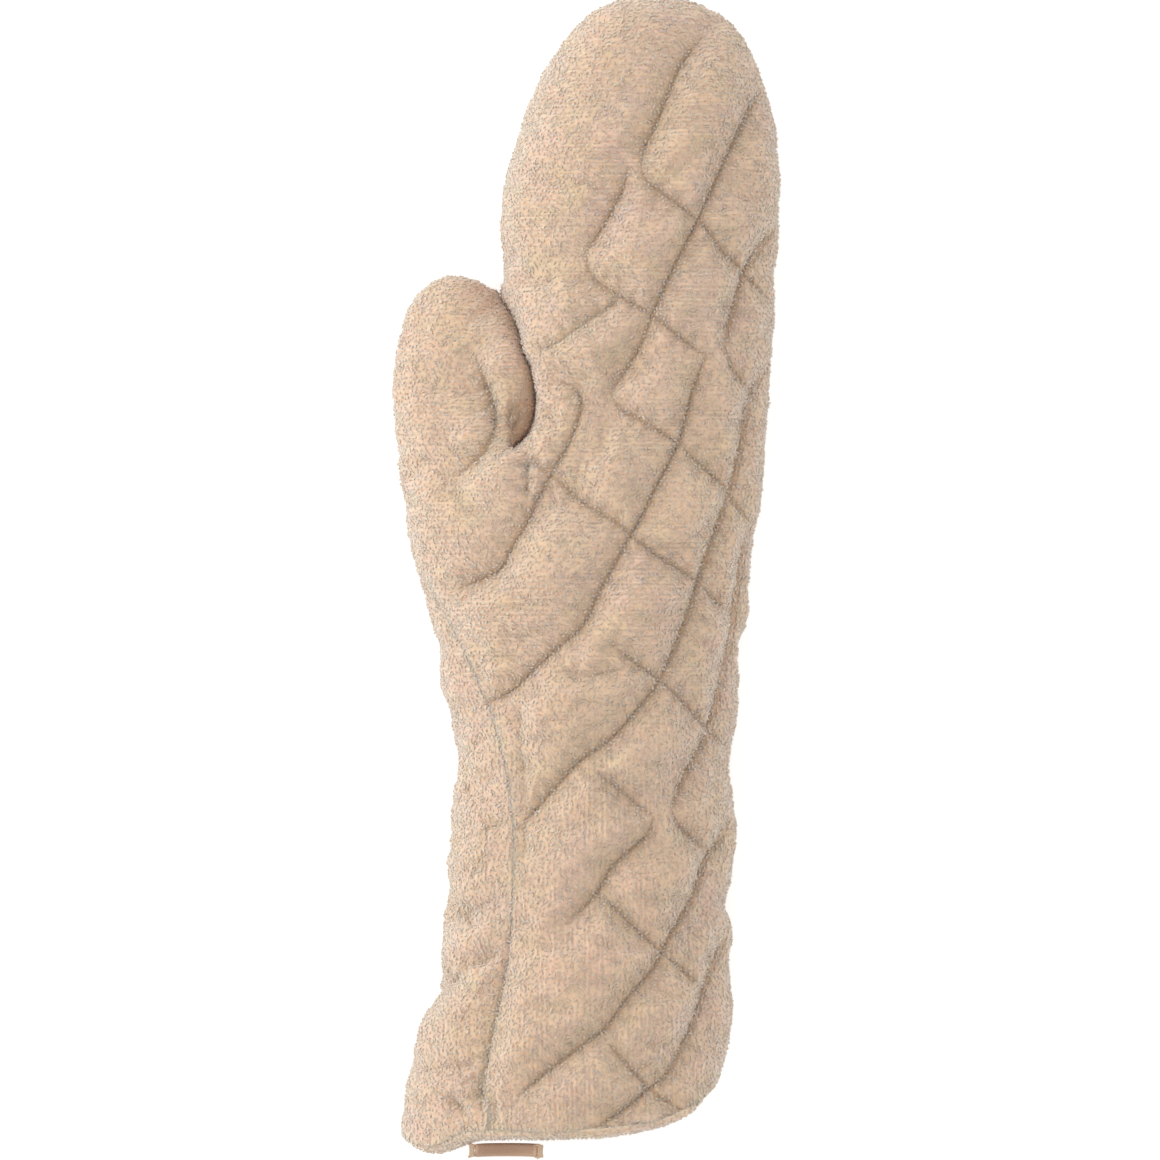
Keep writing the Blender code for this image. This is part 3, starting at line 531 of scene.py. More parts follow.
class Bag:
    """The terry bag's outside in space: both sides joined at the seam, coarse first and then cut finer."""

    def __init__(self):
        left, slit, right = self.seam()
        self.hem = self.hem_edge()
        self.left, self.right = left, right
        upward, downward = self.seam_marks(left), self.seam_marks(right[::-1])[::-1]
        self.slit = len(upward) - 2, len(upward) + len(slit) + 2
        self.outline = np.vstack((upward, slit, downward))
        self.rows = [self.hem_row(inset) for inset in (HEM_CUT, HEM_DEPTH)]
        self.turn_seam()
        deep, light = (
            [spaced(curve(from_photo(line)), ROW_STEP) for line in rows]
            for rows in (DEEP_ROWS_PX, LIGHT_ROWS_PX)
        )
        top = Side(self.outline, self.hem, self.rows, deep + light, self.turned)
        bottom = Side(self.outline, self.hem, self.rows, self.rear_rows())
        self.deep, self.light, self.below = top.sewn[: len(deep)], top.sewn[len(deep) :], bottom.sewn
        self.join(top, bottom)
        for rounds in FILM_ROUNDS[1:]:
            self.refine(rounds)
        self.lay()

    def seam(self):
        """The seam's fine polylines left of the slit, round it and right of it."""
        middle = spaced(curve(from_photo(SLIT_PX)), CELL)
        aside = left_of(middle) * SLIT_WIDTH / 2
        tip = middle[-1:] + (middle[-1:] - middle[-2:-1]) * SLIT_WIDTH / 2 / CELL
        thumb_side, hand_side = middle - aside, (middle + aside)[::-1]
        left = curve(np.vstack((from_photo(LEFT_EDGE_PX), thumb_side[:1])))
        right = curve(np.vstack((hand_side[-1:], from_photo(RIGHT_EDGE_PX))))
        return left, np.vstack((thumb_side[1:], tip, hand_side[:-1])), right

    @staticmethod
    def seam_marks(line):
        """Points up the seam from the hem, with one at each of the hem's rows."""
        length = travel(line)[-1]
        band = np.linspace(HEM_CUT, HEM_DEPTH, HEM_BAND_ROWS)
        above = np.linspace(HEM_DEPTH, length, round(length / CELL))
        return at_travel(line, np.concatenate(([0], band, above[1:])))

    @staticmethod
    def hem_edge():
        """The cuff's open edge from its right end to its left end, with graded points where it turns over."""
        edge = curve(from_photo(HEM_EDGE_PX))
        length = travel(edge)[-1]
        rims = np.array((*RIM_ROWS, HEM_RIM_ROW))
        steps = np.linspace(2 * CELL, length - 2 * CELL, round(length / CELL) - 3)
        return at_travel(edge, np.concatenate(([0], rims, steps, (length - rims)[::-1], [length])))

    def hem_row(self, inset):
        """The hem's edge moved into the cuff, square to the edge but along the seam at its two ends."""
        run = travel(self.hem)
        way = -left_of(self.hem)
        for line, away in ((self.right[::-1], run), (self.left, run[-1] - run)):
            share = np.maximum(1 - away / HEM_TURN, 0)[:, None]
            seam = (at_travel(line, [HEM_DEPTH])[0] - line[0]) / HEM_DEPTH
            way = way * (1 - share) + seam * share
        row = self.hem + way / np.linalg.norm(way, axis=1)[:, None] * inset
        row[0] = at_travel(self.right[::-1], [inset])[0]
        row[-1] = at_travel(self.left, [inset])[0]
        return row

    def turn_seam(self):
        """The left seam's way over the front of the cuff, from the outline down to the hem."""
        turned = curve(from_photo(TURNED_SEAM_PX))
        self.leaves = int(np.linalg.norm(self.outline - turned[0], axis=1).argmin())
        self.lands = int(np.abs(self.rows[1][:, 0] - turned[-1, 0]).argmin())
        turned[0], turned[-1] = self.outline[self.leaves], self.rows[1][self.lands]
        self.turned = np.vstack((spaced(turned, CELL), self.rows[0][self.lands], self.hem[self.lands]))
        self.strip = np.vstack((self.outline[: self.leaves], self.turned, self.hem[self.lands + 1 : -1]))

    def rear_rows(self):
        """The underside's straight sewn rows, which cross in even diamonds."""
        rows, reach = [], MITT_LENGTH / 4
        for k in range(-REAR_ROWS, REAR_ROWS + 1):
            for rise in (-reach, reach):
                ends = ((-reach, k * REAR_PITCH - rise), (reach, k * REAR_PITCH + rise))
                rows.append(spaced(np.array(ends), CELL))
        return rows

    def join(self, top, bottom):
        """Both sides as one mesh, with the outline's points shared."""
        shared, offset = len(self.outline), len(top.points) - len(self.outline)
        moved = np.where(np.arange(len(bottom.points)) < shared, 0, offset) + np.arange(len(bottom.points))
        self.flat = np.vstack((top.points, bottom.points[shared:]))
        self.faces = np.vstack((top.faces, moved[bottom.faces[:, ::-1]]))
        self.over = np.arange(len(self.faces)) < len(top.faces)
        self.parent = np.arange(len(self.faces))
        self.is_seam = np.arange(len(self.flat)) < shared
        self.rings = [np.concatenate((up, moved[down][-2:0:-1]))
                      for up, down in zip(top.row_points, bottom.row_points)]
        self.coarse = self.faces
        middles = self.flat[self.faces].mean(axis=1)
        band = np.vstack((self.hem, self.rows[0][::-1]))
        front = self.over & ~inside(middles, self.strip)
        self.panel = np.where(inside(middles, band), "hem", np.where(front, "front", "rear"))
        self.cuts = []
        self.film = blown(self.flat, self.faces, ~self.is_seam, np.zeros(len(self.flat)), FILM_ROUNDS[0])

    def refine(self, rounds):
        """Every triangle cut in four, and the film solved again on the finer mesh."""
        count = len(self.flat)
        finer, ends = halved(self.faces, count)
        touched = finer[: len(self.faces), [1, 2]]
        touched = np.column_stack((touched, finer[2 * len(self.faces) : 3 * len(self.faces), 1])) - count
        above, below = np.zeros(len(ends), bool), np.zeros(len(ends), bool)
        above[touched[self.over]] = True
        below[touched[~self.over]] = True
        self.cuts.append((count, ends[:, 0] * count + ends[:, 1]))
        self.is_seam = np.concatenate((self.is_seam, above & below & self.is_seam[ends].all(axis=1)))
        self.flat, self.film = with_middles(self.flat, ends), with_middles(self.film, ends)
        self.faces, self.over, self.parent = finer, np.tile(self.over, 4), np.tile(self.parent, 4)
        self.film = blown(self.flat, finer, ~self.is_seam, self.film, rounds)

    def lay(self):
        """The smooth outside's places and the ways out of it."""
        over = np.ones(len(self.flat), bool)
        over[self.faces[~self.over]] = False
        swell = np.sqrt(2 * self.film)
        quarter = math.pi / 2 * np.minimum(swell / REAR_REACH, 1)
        height = np.where(over, FRONT_SWELL_SHARE * swell, -SEAM_HEIGHT * np.sin(quarter))
        self.over_point = over
        self.base = np.column_stack((self.flat, SEAM_HEIGHT + height)) + self.slit_pressed()
        self.out = normals_of(self.base, self.faces)

    def slit_pressed(self):
        """How the cloth beside the slit rises, and leans over it so that thumb and hand press together."""
        middle = spaced(curve(from_photo(SLIT_PX)), CELL)
        near = Near([raised(middle)])
        low, high = middle.min(axis=0) - SLIT_SIDE, middle.max(axis=0) + SLIT_SIDE
        chosen = np.flatnonzero(((self.flat > low) & (self.flat < high)).all(axis=1))
        at = raised(self.flat[chosen])
        distance, _, run = near.at(at)
        aim = np.array([near.tree.find(place)[0] for place in at])
        ramp = np.clip(run / SLIT_RAMP, 0, 1)
        moved = np.zeros((len(self.flat), 3))
        lean = SLIT_LEAN * ramp * (1 - np.minimum(distance / SLIT_PRESS, 1))
        moved[chosen] = (aim - at) * lean[:, None]
        moved[chosen, 2] = SLIT_RISE * ramp * (1 - np.minimum(distance / SLIT_SIDE, 1) ** 2) ** 2
        return moved

    def border_of(self, chosen):
        """The directed coarse sides that only one chosen coarse face has."""
        sides = self.coarse[chosen][:, [[0, 1], [1, 2], [2, 0]]].reshape(-1, 2)
        big = len(self.flat)
        return sides[~np.isin(sides[:, 0] * big + sides[:, 1], sides[:, 1] * big + sides[:, 0])]

    def fine_path(self, ends):
        """The fine points along each coarse side, its two ends included."""
        paths = ends
        for count, keys in self.cuts:
            a, b = paths[:, :-1], paths[:, 1:]
            key = np.minimum(a, b) * count + np.maximum(a, b)
            wider = np.zeros((len(paths), 2 * paths.shape[1] - 1), int)
            wider[:, ::2] = paths
            wider[:, 1::2] = count + np.searchsorted(keys, key)
            paths = wider
        return paths


class Near:
    """Finds how near points are to a group of lines in space, and the depth share where they are nearest."""

    def __init__(self, lines, shares=None, taper=NO_TAPER):
        points, depth, runs = [], [], []
        for line, share in zip(lines, shares or [1.0] * len(lines)):
            line = spaced(line, NEAR_STEP)
            run = travel(line)
            end = np.minimum(run, run[-1] - run)
            points.append(line)
            runs.append(run)
            depth.append(share * np.clip(END_SHARE + (1 - END_SHARE) * end / taper, 0, 1))
        self.depth, self.runs = np.concatenate(depth), np.concatenate(runs)
        self.tree = point_tree(np.vstack(points))

    def at(self, places):
        """Distances to the nearest line, that line's depth share there, and how far along it that is."""
        found = [self.tree.find(place) for place in places]
        nearest = [f[1] for f in found]
        return np.array([f[2] for f in found]), self.depth[nearest], self.runs[nearest]


def surface_tree(places, faces):
    """A search tree over a mesh's triangles."""
    return BVHTree.FromPolygons(places.tolist(), faces.tolist())


def dropped(tree, line, above):
    """Flat points laid on a surface from above, or from below it, and the ways out there."""
    start, way = (1.0, Vector((0, 0, -1))) if above else (-1.0, Vector((0, 0, 1)))
    placed, out = [], []
    for x, y in line:
        hit, normal, _, _ = tree.ray_cast(Vector((x, y, start)), way)
        if hit is not None:
            placed.append(hit)
            out.append(normal if normal.dot(way) < 0 else -normal)
    return np.array(placed), np.array(out)


def bumps(places, kinds):
    """Smooth noise at places: kinds of bumps added up, each with its height, size and seed."""
    total = 0
    for height, size, seed in kinds:
        shift = Vector([seed * part for part in SEED_SHIFTS])
        total = total + height * np.array([noise.noise(Vector(place) / size + shift) for place in places])
    return total


def bell(distance, width):
    """A share that falls smoothly from 1 as the distance passes a width."""
    return np.exp(-((distance / width) ** 2))


class Cloth:
    """The terry's outside as it is sewn, puffed and worn, over the smooth bag."""

    def __init__(self, bag, sizes):
        self.bag = bag
        tree = surface_tree(bag.base, bag.faces)
        folds = [spaced(curve(from_photo(line)), CELL / 2) for _, line in FOLDS_PX]
        deep, light, below, folds, (turned,) = (
            [dropped(tree, line, above)[0] for line in lines]
            for lines, above in ((bag.deep, True), (bag.light, True), (bag.below, False), (folds, True),
                                 ([bag.turned[1:-2]], True))
        )
        rim = bag.base[: len(bag.outline)]
        slit = rim[slice(*bag.slit)]
        rims = [rim[: bag.slit[0]], slit, rim[bag.slit[1] :]]
        self.sew(sizes, deep, light, below, folds, turned, rims)
        places = bag.base
        loose = 1 - bell(self.away, LOOSE_REACH)
        puffed = self.simulated(Near([*deep, *light, *below, turned, rim]), sizes)
        pushed = 1 - np.minimum(Near([slit]).at(places)[0] / SLIT_PUSH_REACH, 1)
        self.drawn -= sizes.slit_push * pushed**2
        wave = bumps(places, WAVES) * np.clip(self.away / WAVE_REACH, 0, 1)
        lift = sizes.crumple * (loose * bumps(places, CRUMPLES) + wave) - self.drawn
        lift += sizes.pebble * (bumps(places, PEBBLES) + self.ribs(places))
        lift += sizes.pucker * self.pucker
        self.moved = places + puffed
        self.places = self.moved + bag.out * lift[:, None]
        under = self.places[:, 2] < CLOTH_FLOOR
        self.places[under, 2] = CLOTH_FLOOR + bumps(places[under], FLOOR_BUMPS) * CLOTH_FLOOR

    def sew(self, sizes, deep, light, below, folds, turned, rims):
        """How far the cloth is drawn in and gathered beside its lines, its painted shade there, and how far
        off they are.
        """
        bag, reach = self.bag, sizes.groove_reach
        count, cut = len(bag.base), 2 * len(turned) // 3
        over, under = bag.over_point | bag.is_seam, ~bag.over_point | bag.is_seam
        whole = np.ones(count, bool)
        groups = (
            (over, Near(deep, taper=ROW_TAPER), sizes.deep_groove, reach, 1.0),
            (over, Near(light, taper=ROW_TAPER), sizes.light_groove, reach, LIGHT_ROW_SHADE),
            (under, Near(below, taper=ROW_TAPER), sizes.light_groove, reach, LIGHT_ROW_SHADE),
            (over, Near(folds, [share for share, _ in FOLDS_PX], FOLD_TAPER), sizes.fold_depth,
             FOLD_REACH_SHARE * reach, FOLD_AND_SEAM_SHADE),
            (over, Near([turned[:cut], turned[cut:]], TURNED_SHARES, SEAM_TAPER), sizes.deep_groove, reach,
             TURNED_SEAM_SHADE),
            (whole, Near(rims, [1.0, 0.0, 1.0], SEAM_TAPER), sizes.seam_draw, SEAM_REACH, FOLD_AND_SEAM_SHADE),
        )
        self.drawn, self.pucker, self.crease = np.zeros((3, count))
        self.away = np.ones(count)
        drift = PUCKER_DRIFT * bumps(bag.base, DRIFTS)
        for chosen, near, depth, reach, dark in groups:
            distance, share, run = near.at(bag.base[chosen])
            narrow = np.exp(-distance / sizes.groove_width)
            broad = (1 - np.minimum(distance / reach, 1) ** 2) ** 2
            pull = depth * share * (NARROW_SHARE * narrow + (1 - NARROW_SHARE) * broad)
            self.drawn[chosen] = np.maximum(self.drawn[chosen], pull)
            beside = bell(distance, PUCKER_FAR) * (1 - bell(distance, PUCKER_NEAR))
            gathers = np.sin(run * (2 * math.pi / PUCKER_PITCH) + drift[chosen])
            self.pucker[chosen] += share * beside * gathers
            self.away[chosen] = np.minimum(self.away[chosen], distance)
            # Painted shade: the terry is darkened along each groove and in a broader band beside it, where
            # shade falls
            line, shade = bell(distance, sizes.groove_width), bell(distance, sizes.shade_width)
            mark = dark * share * (GROOVE_SHADE_SHARE * line + (1 - GROOVE_SHADE_SHARE) * shade)
            self.crease[chosen] = np.maximum(self.crease[chosen], mark)

    @staticmethod
    def ribs(places):
        """The woven ground's rows: up and down the cuff, and across the hand."""
        upright = np.clip((RIBS_TURN_Y - places[:, 1]) / RIBS_TURN, 0, 1)
        drift = RIB_DRIFT * bumps(places, RIB_DRIFTS)
        along, across = (
            np.sin(places[:, k] * (2 * math.pi / pitch) + drift) for k, pitch in enumerate(RIB_PITCHES)
        )
        return RIB_SHARE * (upright * along + (1 - upright) * across)

    def simulated(self, pinned, sizes):
        """How the wadding's pressure moves the cloth between its sewn rows, from a cloth simulation."""
        bag = self.bag
        count, ring = bag.cuts[0][0], bag.rings[0]
        cap = np.column_stack((ring, np.roll(ring, -1), np.full(len(ring), count)))
        middle = bag.base[ring].mean(axis=0)
        item = add_mesh("bag_to_blow", np.vstack((bag.base[:count], middle)), np.vstack((bag.coarse, cap)),
                        bpy.data.materials.new("plain"))
        outward(item)
        voxels = item.modifiers.new("even", "REMESH")
        voxels.mode, voxels.voxel_size = "VOXEL", sizes.voxel
        settle(item)
        before = positions(item.data)
        weight = np.clip((PIN_REACH - pinned.at(before)[0]) / PIN_FADE, 0, 1)
        weight[before[:, 1] < HEM_PINNED_Y] = 1.0
        group = item.vertex_groups.new(name="pins")
        for k in np.flatnonzero(weight > 0):
            group.add([int(k)], float(weight[k]), "REPLACE")
        cloth = item.modifiers.new("cloth", "CLOTH")
        facts = cloth.settings
        facts.quality = CLOTH_QUALITY
        facts.mass = CLOTH_MASS
        facts.tension_stiffness = facts.compression_stiffness = facts.shear_stiffness = CLOTH_TENSION
        facts.bending_stiffness = CLOTH_BENDING
        facts.shrink_min = -CLOTH_SLACK
        facts.vertex_group_mass = "pins"
        facts.use_pressure = True
        facts.uniform_pressure_force = sizes.pressure
        facts.effector_weights.gravity = 0.0
        cloth.collision_settings.use_collision = False
        cloth.point_cache.frame_start, cloth.point_cache.frame_end = 1, LAST_FRAME
        scene = bpy.context.scene
        for step in range(1, LAST_FRAME + 1):
            scene.frame_set(step)
        way = positions(evaluated(item)) - before
        scene.frame_set(1)
        bpy.data.objects.remove(item)
        length = np.linalg.norm(way, axis=1)
        way *= (np.minimum(length, sizes.cap) / np.maximum(length, 1e-9))[:, None]
        tree = point_tree(before)
        found = [tree.find_n(place, NEIGHBOURS) for place in bag.base]
        near = np.array([[f[1] for f in some] for some in found])
        share = 1 / np.maximum(np.array([[f[2] for f in some] for some in found]), 1e-4) ** 2
        share /= share.sum(axis=1)[:, None]
        puffed = (way[near] * share[:, :, None]).sum(axis=1)
        held = np.clip(pinned.at(bag.base)[0] / HELD_REACH, 0, 1)[:, None]
        for _ in range(SMOOTH_ROUNDS):
            puffed = smoothed(puffed, bag.faces)
        return puffed * held

    def skin(self, depth, pressed=0.0):
        """Coarse places at a depth below the outside, which follow the sewn rows and the puffs or don't."""
        bag = self.bag
        count = bag.cuts[0][0]
        pull = depth + pressed * self.drawn[:count]
        start = self.moved[:count] if pressed else bag.base[:count]
        placed = start - bag.out[:count] * pull[:, None]
        placed[:, 2] = np.maximum(placed[:, 2], CLOTH_FLOOR + depth)
        return placed


def positions(mesh, key="co"):
    """A mesh's points, or their normals."""
    values = np.zeros(3 * len(mesh.vertices), np.float32)
    mesh.vertices.foreach_get(key, values)
    return values.reshape(-1, 3).astype(float)


def smoothed(values, faces):
    """Values at points, each drawn half-way to the mean of its neighbours."""
    count = len(values)
    a, b = faces.ravel(), np.roll(faces, -1, axis=1).ravel()
    number = np.bincount(a, minlength=count) + np.bincount(b, minlength=count)
    mean = np.column_stack([
        np.bincount(a, values[b, k], count) + np.bincount(b, values[a, k], count) for k in range(3)
    ]) / number[:, None]
    return (values + mean) / 2


def linked(name, data):
    """An object of its own in the scene for a mesh, a lamp or a camera."""
    item = bpy.data.objects.new(name, data)
    bpy.context.scene.collection.objects.link(item)
    return item


def evaluated(item):
    """A plain mesh of an object with its modifiers applied."""
    depsgraph = bpy.context.evaluated_depsgraph_get()
    return bpy.data.meshes.new_from_object(item.evaluated_get(depsgraph), depsgraph=depsgraph)


def settle(item):
    """An object's modifiers applied to its mesh."""
    mesh = evaluated(item)
    item.modifiers.clear()
    item.data = mesh


def outward(item):
    """A closed piece's faces turned to point outwards."""
    form = bmesh.new()
    form.from_mesh(item.data)
    bmesh.ops.recalc_face_normals(form, faces=form.faces)
    form.to_mesh(item.data)
    form.free()
    item.data.update()


def rest_on_floor(mesh):
    """Points that reach below the floor pressed up to it."""
    places = positions(mesh)
    places[:, 2] = np.maximum(places[:, 2], YARN_FLOOR)
    mesh.vertices.foreach_set("co", places.ravel())
    mesh.update()


def add_mesh(name, places, faces, material, **attributes):
    """A plain mesh object with its material, smooth, and with values kept at its points."""
    mesh = bpy.data.meshes.new(name)
    mesh.from_pydata(np.asarray(places).tolist(), [], [list(map(int, face)) for face in faces])
    for key, values in attributes.items():
        mesh.attributes.new(key, "FLOAT", "POINT").data.foreach_set("value", np.asarray(values, np.float32))
    mesh.materials.append(material)
    mesh.update()
    mesh.shade_smooth()
    return linked(name, mesh)


def line_mesh(name, lines):
    """A mesh of plain lines, for a pattern that runs along them."""
    mesh = bpy.data.meshes.new(name)
    points, edges = [], []
    for line in lines:
        start = len(points)
        points += np.asarray(line).tolist()
        edges += [(start + k, start + k + 1) for k in range(len(line) - 1)]
    mesh.from_pydata(points, edges, [])
    return linked(name, mesh)


def add_ply(cloth, name, panel, outer, inner, fine, material):
    """One ply of a panel as a closed shell: its outer skin fine or coarse, its inner skin coarse."""
    bag = cloth.bag
    chosen = bag.panel == panel
    border = bag.border_of(chosen)
    skin = bag.faces[chosen[bag.parent]] if fine else bag.coarse[chosen]
    offset = len(outer)
    paths = bag.fine_path(border) if fine else border
    half = paths.shape[1] // 2
    strip = []
    for a, b in zip(range(paths.shape[1]), range(1, paths.shape[1])):
        foot = border[:, 0] if a < half else border[:, 1]
        strip.append(np.column_stack((paths[:, b], paths[:, a], foot + offset)))
    strip.append(np.column_stack((paths[:, half], border[:, 0] + offset, border[:, 1] + offset)))
    faces = np.vstack((skin, bag.coarse[chosen][:, ::-1] + offset, *strip))
    places = np.vstack((outer, inner))
    used = np.unique(faces)
    number = np.zeros(len(places), int)
    number[used] = np.arange(len(used))
    # The crease values are painted shade along the grooves, folds and seams of the outer skin
    crease = np.concatenate((cloth.crease if fine else np.zeros(offset), np.zeros(len(inner))))
    return add_mesh(name, places[used], number[faces], material, crease=crease[used])


class Nodes:
    """A node tree with a quick way to add nodes to it and to join them."""

    def __init__(self, tree):
        self.tree = tree

    def add(self, kind, settings=None, **values):
        """A node with its settings and its input values, which may be other nodes' outputs."""
        node = self.tree.nodes.new(kind)
        for key, value in (settings or {}).items():
            setattr(node, key, value)
        for key, value in values.items():
            self.put(node, key.replace("_", " ").strip(), value)
        return node

    def put(self, node, key, value):
        """A value, another node's output or its first output, on a node's input by name or number."""
        socket = node.inputs[int(key) if key.isdigit() else key]
        if isinstance(value, bpy.types.Node):
            value = value.outputs[0]
        if isinstance(value, bpy.types.NodeSocket):
            self.tree.links.new(value, socket)
        else:
            socket.default_value = value


class Finish(Nodes):
    """A material and its shader, built up from textures in the piece's own coordinates."""

    def __init__(self, name, roughness, **sockets):
        self.material = bpy.data.materials.new(name)
        self.material.use_nodes = True
        super().__init__(self.material.node_tree)
        self.shader = self.tree.nodes["Principled BSDF"]
        self.shader.inputs["Roughness"].default_value = roughness
        for key, value in sockets.items():
            self.put(self.shader, key.replace("_", " "), value)

    def place(self):
        """The piece's own coordinates."""
        return self.add("ShaderNodeTexCoord").outputs["Object"]

    def speckle(self, size, detail, **values):
        """Noise whose features are of a size in metres."""
        noisy = self.add("ShaderNodeTexNoise", Vector=self.place(), Scale=1 / size, Detail=detail, **values)
        return noisy.outputs[0]

    def waves(self, place, pitches, **values):
        """Bands that cross X and bands that cross Y, each at its pitch in metres."""
        return [
            self.add("ShaderNodeTexWave", {"bands_direction": way}, Vector=place, Scale=WAVE_PITCH / pitch,
                     **values).outputs[1]
            for way, pitch in zip("XY", pitches)
        ]

    def worked(self, operation, a, b):
        """Two values put together by a Math node."""
        return self.add("ShaderNodeMath", {"operation": operation}, _0=a, _1=b).outputs[0]

    def mixed(self, factor, a, b):
        """Two colours mixed by a factor."""
        return self.add("ShaderNodeMix", {"data_type": "RGBA"}, _0=factor, _6=a, _7=b).outputs[2]

    def shared(self, value, low, high):
        """A value mapped from low..high to 0..1."""
        return self.add("ShaderNodeMapRange", Value=value, From_Min=low, From_Max=high).outputs[0]

    def bumped(self, height, distance, strength=1.0, **under):
        """A bump on the shader from a height, over an earlier bump where there is one."""
        bump = self.add("ShaderNodeBump", Height=height, Distance=distance, Strength=strength, **under)
        self.put(self.shader, "Normal", bump)
        return bump

    def coloured(self, colour):
        """The finished material with its colour."""
        self.put(self.shader, "Base Color", colour)
        return self.material


def tint(colour, share=1.0):
    """A colour with its alpha, and with less light where a share of it is asked for."""
    return (*[channel * share for channel in colour[:3]], 1.0)


def terry_finish(colours, name="terry_cloth", yarn_loops=False):
    """Terry: mottled beige with the bumps of its loops, painted shade in its creases, or each loop's own
    tone.
    """
    finish = Finish(name, 0.96, Sheen_Weight=0.6, Sheen_Roughness=0.5, Specular_IOR_Level=0.15,
                    Subsurface_Weight=0.8, Subsurface_Scale=0.005, Subsurface_Radius=(1.0, 0.7, 0.5))
    blush = finish.shared(finish.speckle(BLUSH_SIZE, 3.0, Roughness=0.6), 0.35, 0.70)
    straw = finish.shared(finish.speckle(STRAW_SIZE, 2.0), 0.45, 0.85)
    speck = finish.shared(finish.speckle(SPECK_SIZE, 2.0, Roughness=0.7), 0.42, 0.80)
    colour = finish.mixed(blush, tint(colours.terry), tint(colours.terry_blush))
    colour = finish.mixed(straw, colour, tint(colours.terry_straw))
    colour = finish.mixed(speck, colour, tint(colours.terry, SPECK_LIGHT))
    place = finish.place()
    along = finish.shared(finish.add("ShaderNodeSeparateXYZ", Vector=place).outputs["Y"], -0.08, -0.02)
    waves = finish.waves(place, RIB_FINISH_PITCHES, Distortion=1.6, Detail=2.0, Detail_Scale=2.0)
    worn = finish.shared(finish.speckle(WORN_SIZE, 1.0), 0.40, 0.65)
    ribs = finish.mixed(worn, GREY, finish.mixed(along, *waves))
    colour = finish.mixed(ribs, tint(colours.terry, RIB_LIGHT), colour)
    # On the loops the mark is each loop's own random tone; on the panels it is painted shade in the creases
    if yarn_loops:
        kind, dark, depth = "tone", tint(colours.terry, LOOP_LIGHT), LOOP_BUMP
    else:
        kind, dark, depth = "crease", tint(colours.crease), KNOB_BUMP
    mark = finish.add("ShaderNodeAttribute", {"attribute_name": kind}).outputs["Fac"]
    knobs = finish.add("ShaderNodeTexVoronoi", {"feature": "SMOOTH_F1"}, Vector=place, Scale=1 / KNOB_SIZE,
                       Smoothness=0.6)
    under = finish.bumped(knobs.outputs["Distance"], -depth)
    under = finish.bumped(ribs, FIBRE_BUMP, 0.8, Normal=under)
    finish.bumped(finish.speckle(FIBRE_SIZE, 2.0), FIBRE_BUMP, 0.7, Normal=under)
    return finish.coloured(finish.mixed(mark, colour, dark))


def weave_finish(name, colour, pitch, lean=0.0):
    """A woven cloth or tape: threads that cross at a pitch, with painted shade in the gaps so each crown
    looks lit.
    """
    finish = Finish(name, 0.88, Sheen_Weight=0.15, Specular_IOR_Level=0.2)
    turned = finish.add("ShaderNodeMapping", Vector=finish.place(), Rotation=(0.0, 0.0, lean))
    threads = finish.waves(turned, (pitch, pitch), Distortion=0.6, Detail=1.0, Detail_Scale=1.5)
    crown = finish.worked("MULTIPLY", *threads)
    soil = finish.shared(finish.speckle(SOIL_SIZE, 3.0), 0.3, 0.8)
    soiled = finish.mixed(soil, tint(colour), tint(colour, SOIL_LIGHT))
    finish.bumped(crown, FIBRE_BUMP)
    # Painted shade: the gaps between the threads are darker, so the crowns look lit
    return finish.coloured(finish.mixed(crown, tint(colour, GAP_LIGHT), soiled))


def wadding_finish(colour):
    """Cotton wadding: fluffy and uneven."""
    finish = Finish("cotton_wadding", 1.0, Sheen_Weight=0.3, Specular_IOR_Level=0.1)
    fluff = finish.speckle(FLUFF_SIZE, 6.0, Roughness=0.7)
    finish.bumped(fluff, FLUFF_BUMP)
    return finish.coloured(finish.mixed(fluff, tint(colour, FLUFF_LIGHT), tint(colour)))


def thread_finish(colour):
    """Twisted sewing thread."""
    finish = Finish("sewing_thread", 0.65, Sheen_Weight=0.1, Specular_IOR_Level=0.3)
    twist = finish.speckle(TWIST_SIZE, 3.0)
    finish.bumped(twist, TWIST_BUMP)
    return finish.coloured(finish.mixed(twist, tint(colour, TWIST_LIGHT), tint(colour)))


def floor_finish():
    """A pale floor that looks white and still keeps the mitt's shadow."""
    finish = Finish("white_floor", 0.9, Emission_Color=WHITE)
    path = finish.add("ShaderNodeLightPath").outputs
    seen = finish.worked("MAXIMUM", path["Is Camera Ray"], path["Is Glossy Ray"])
    seen = finish.worked("MAXIMUM", seen, path["Is Transmission Ray"])
    finish.put(finish.shader, "Emission Strength", finish.worked("MULTIPLY", seen, FLOOR_GLOW))
    return finish.coloured(FLOOR_COLOUR)


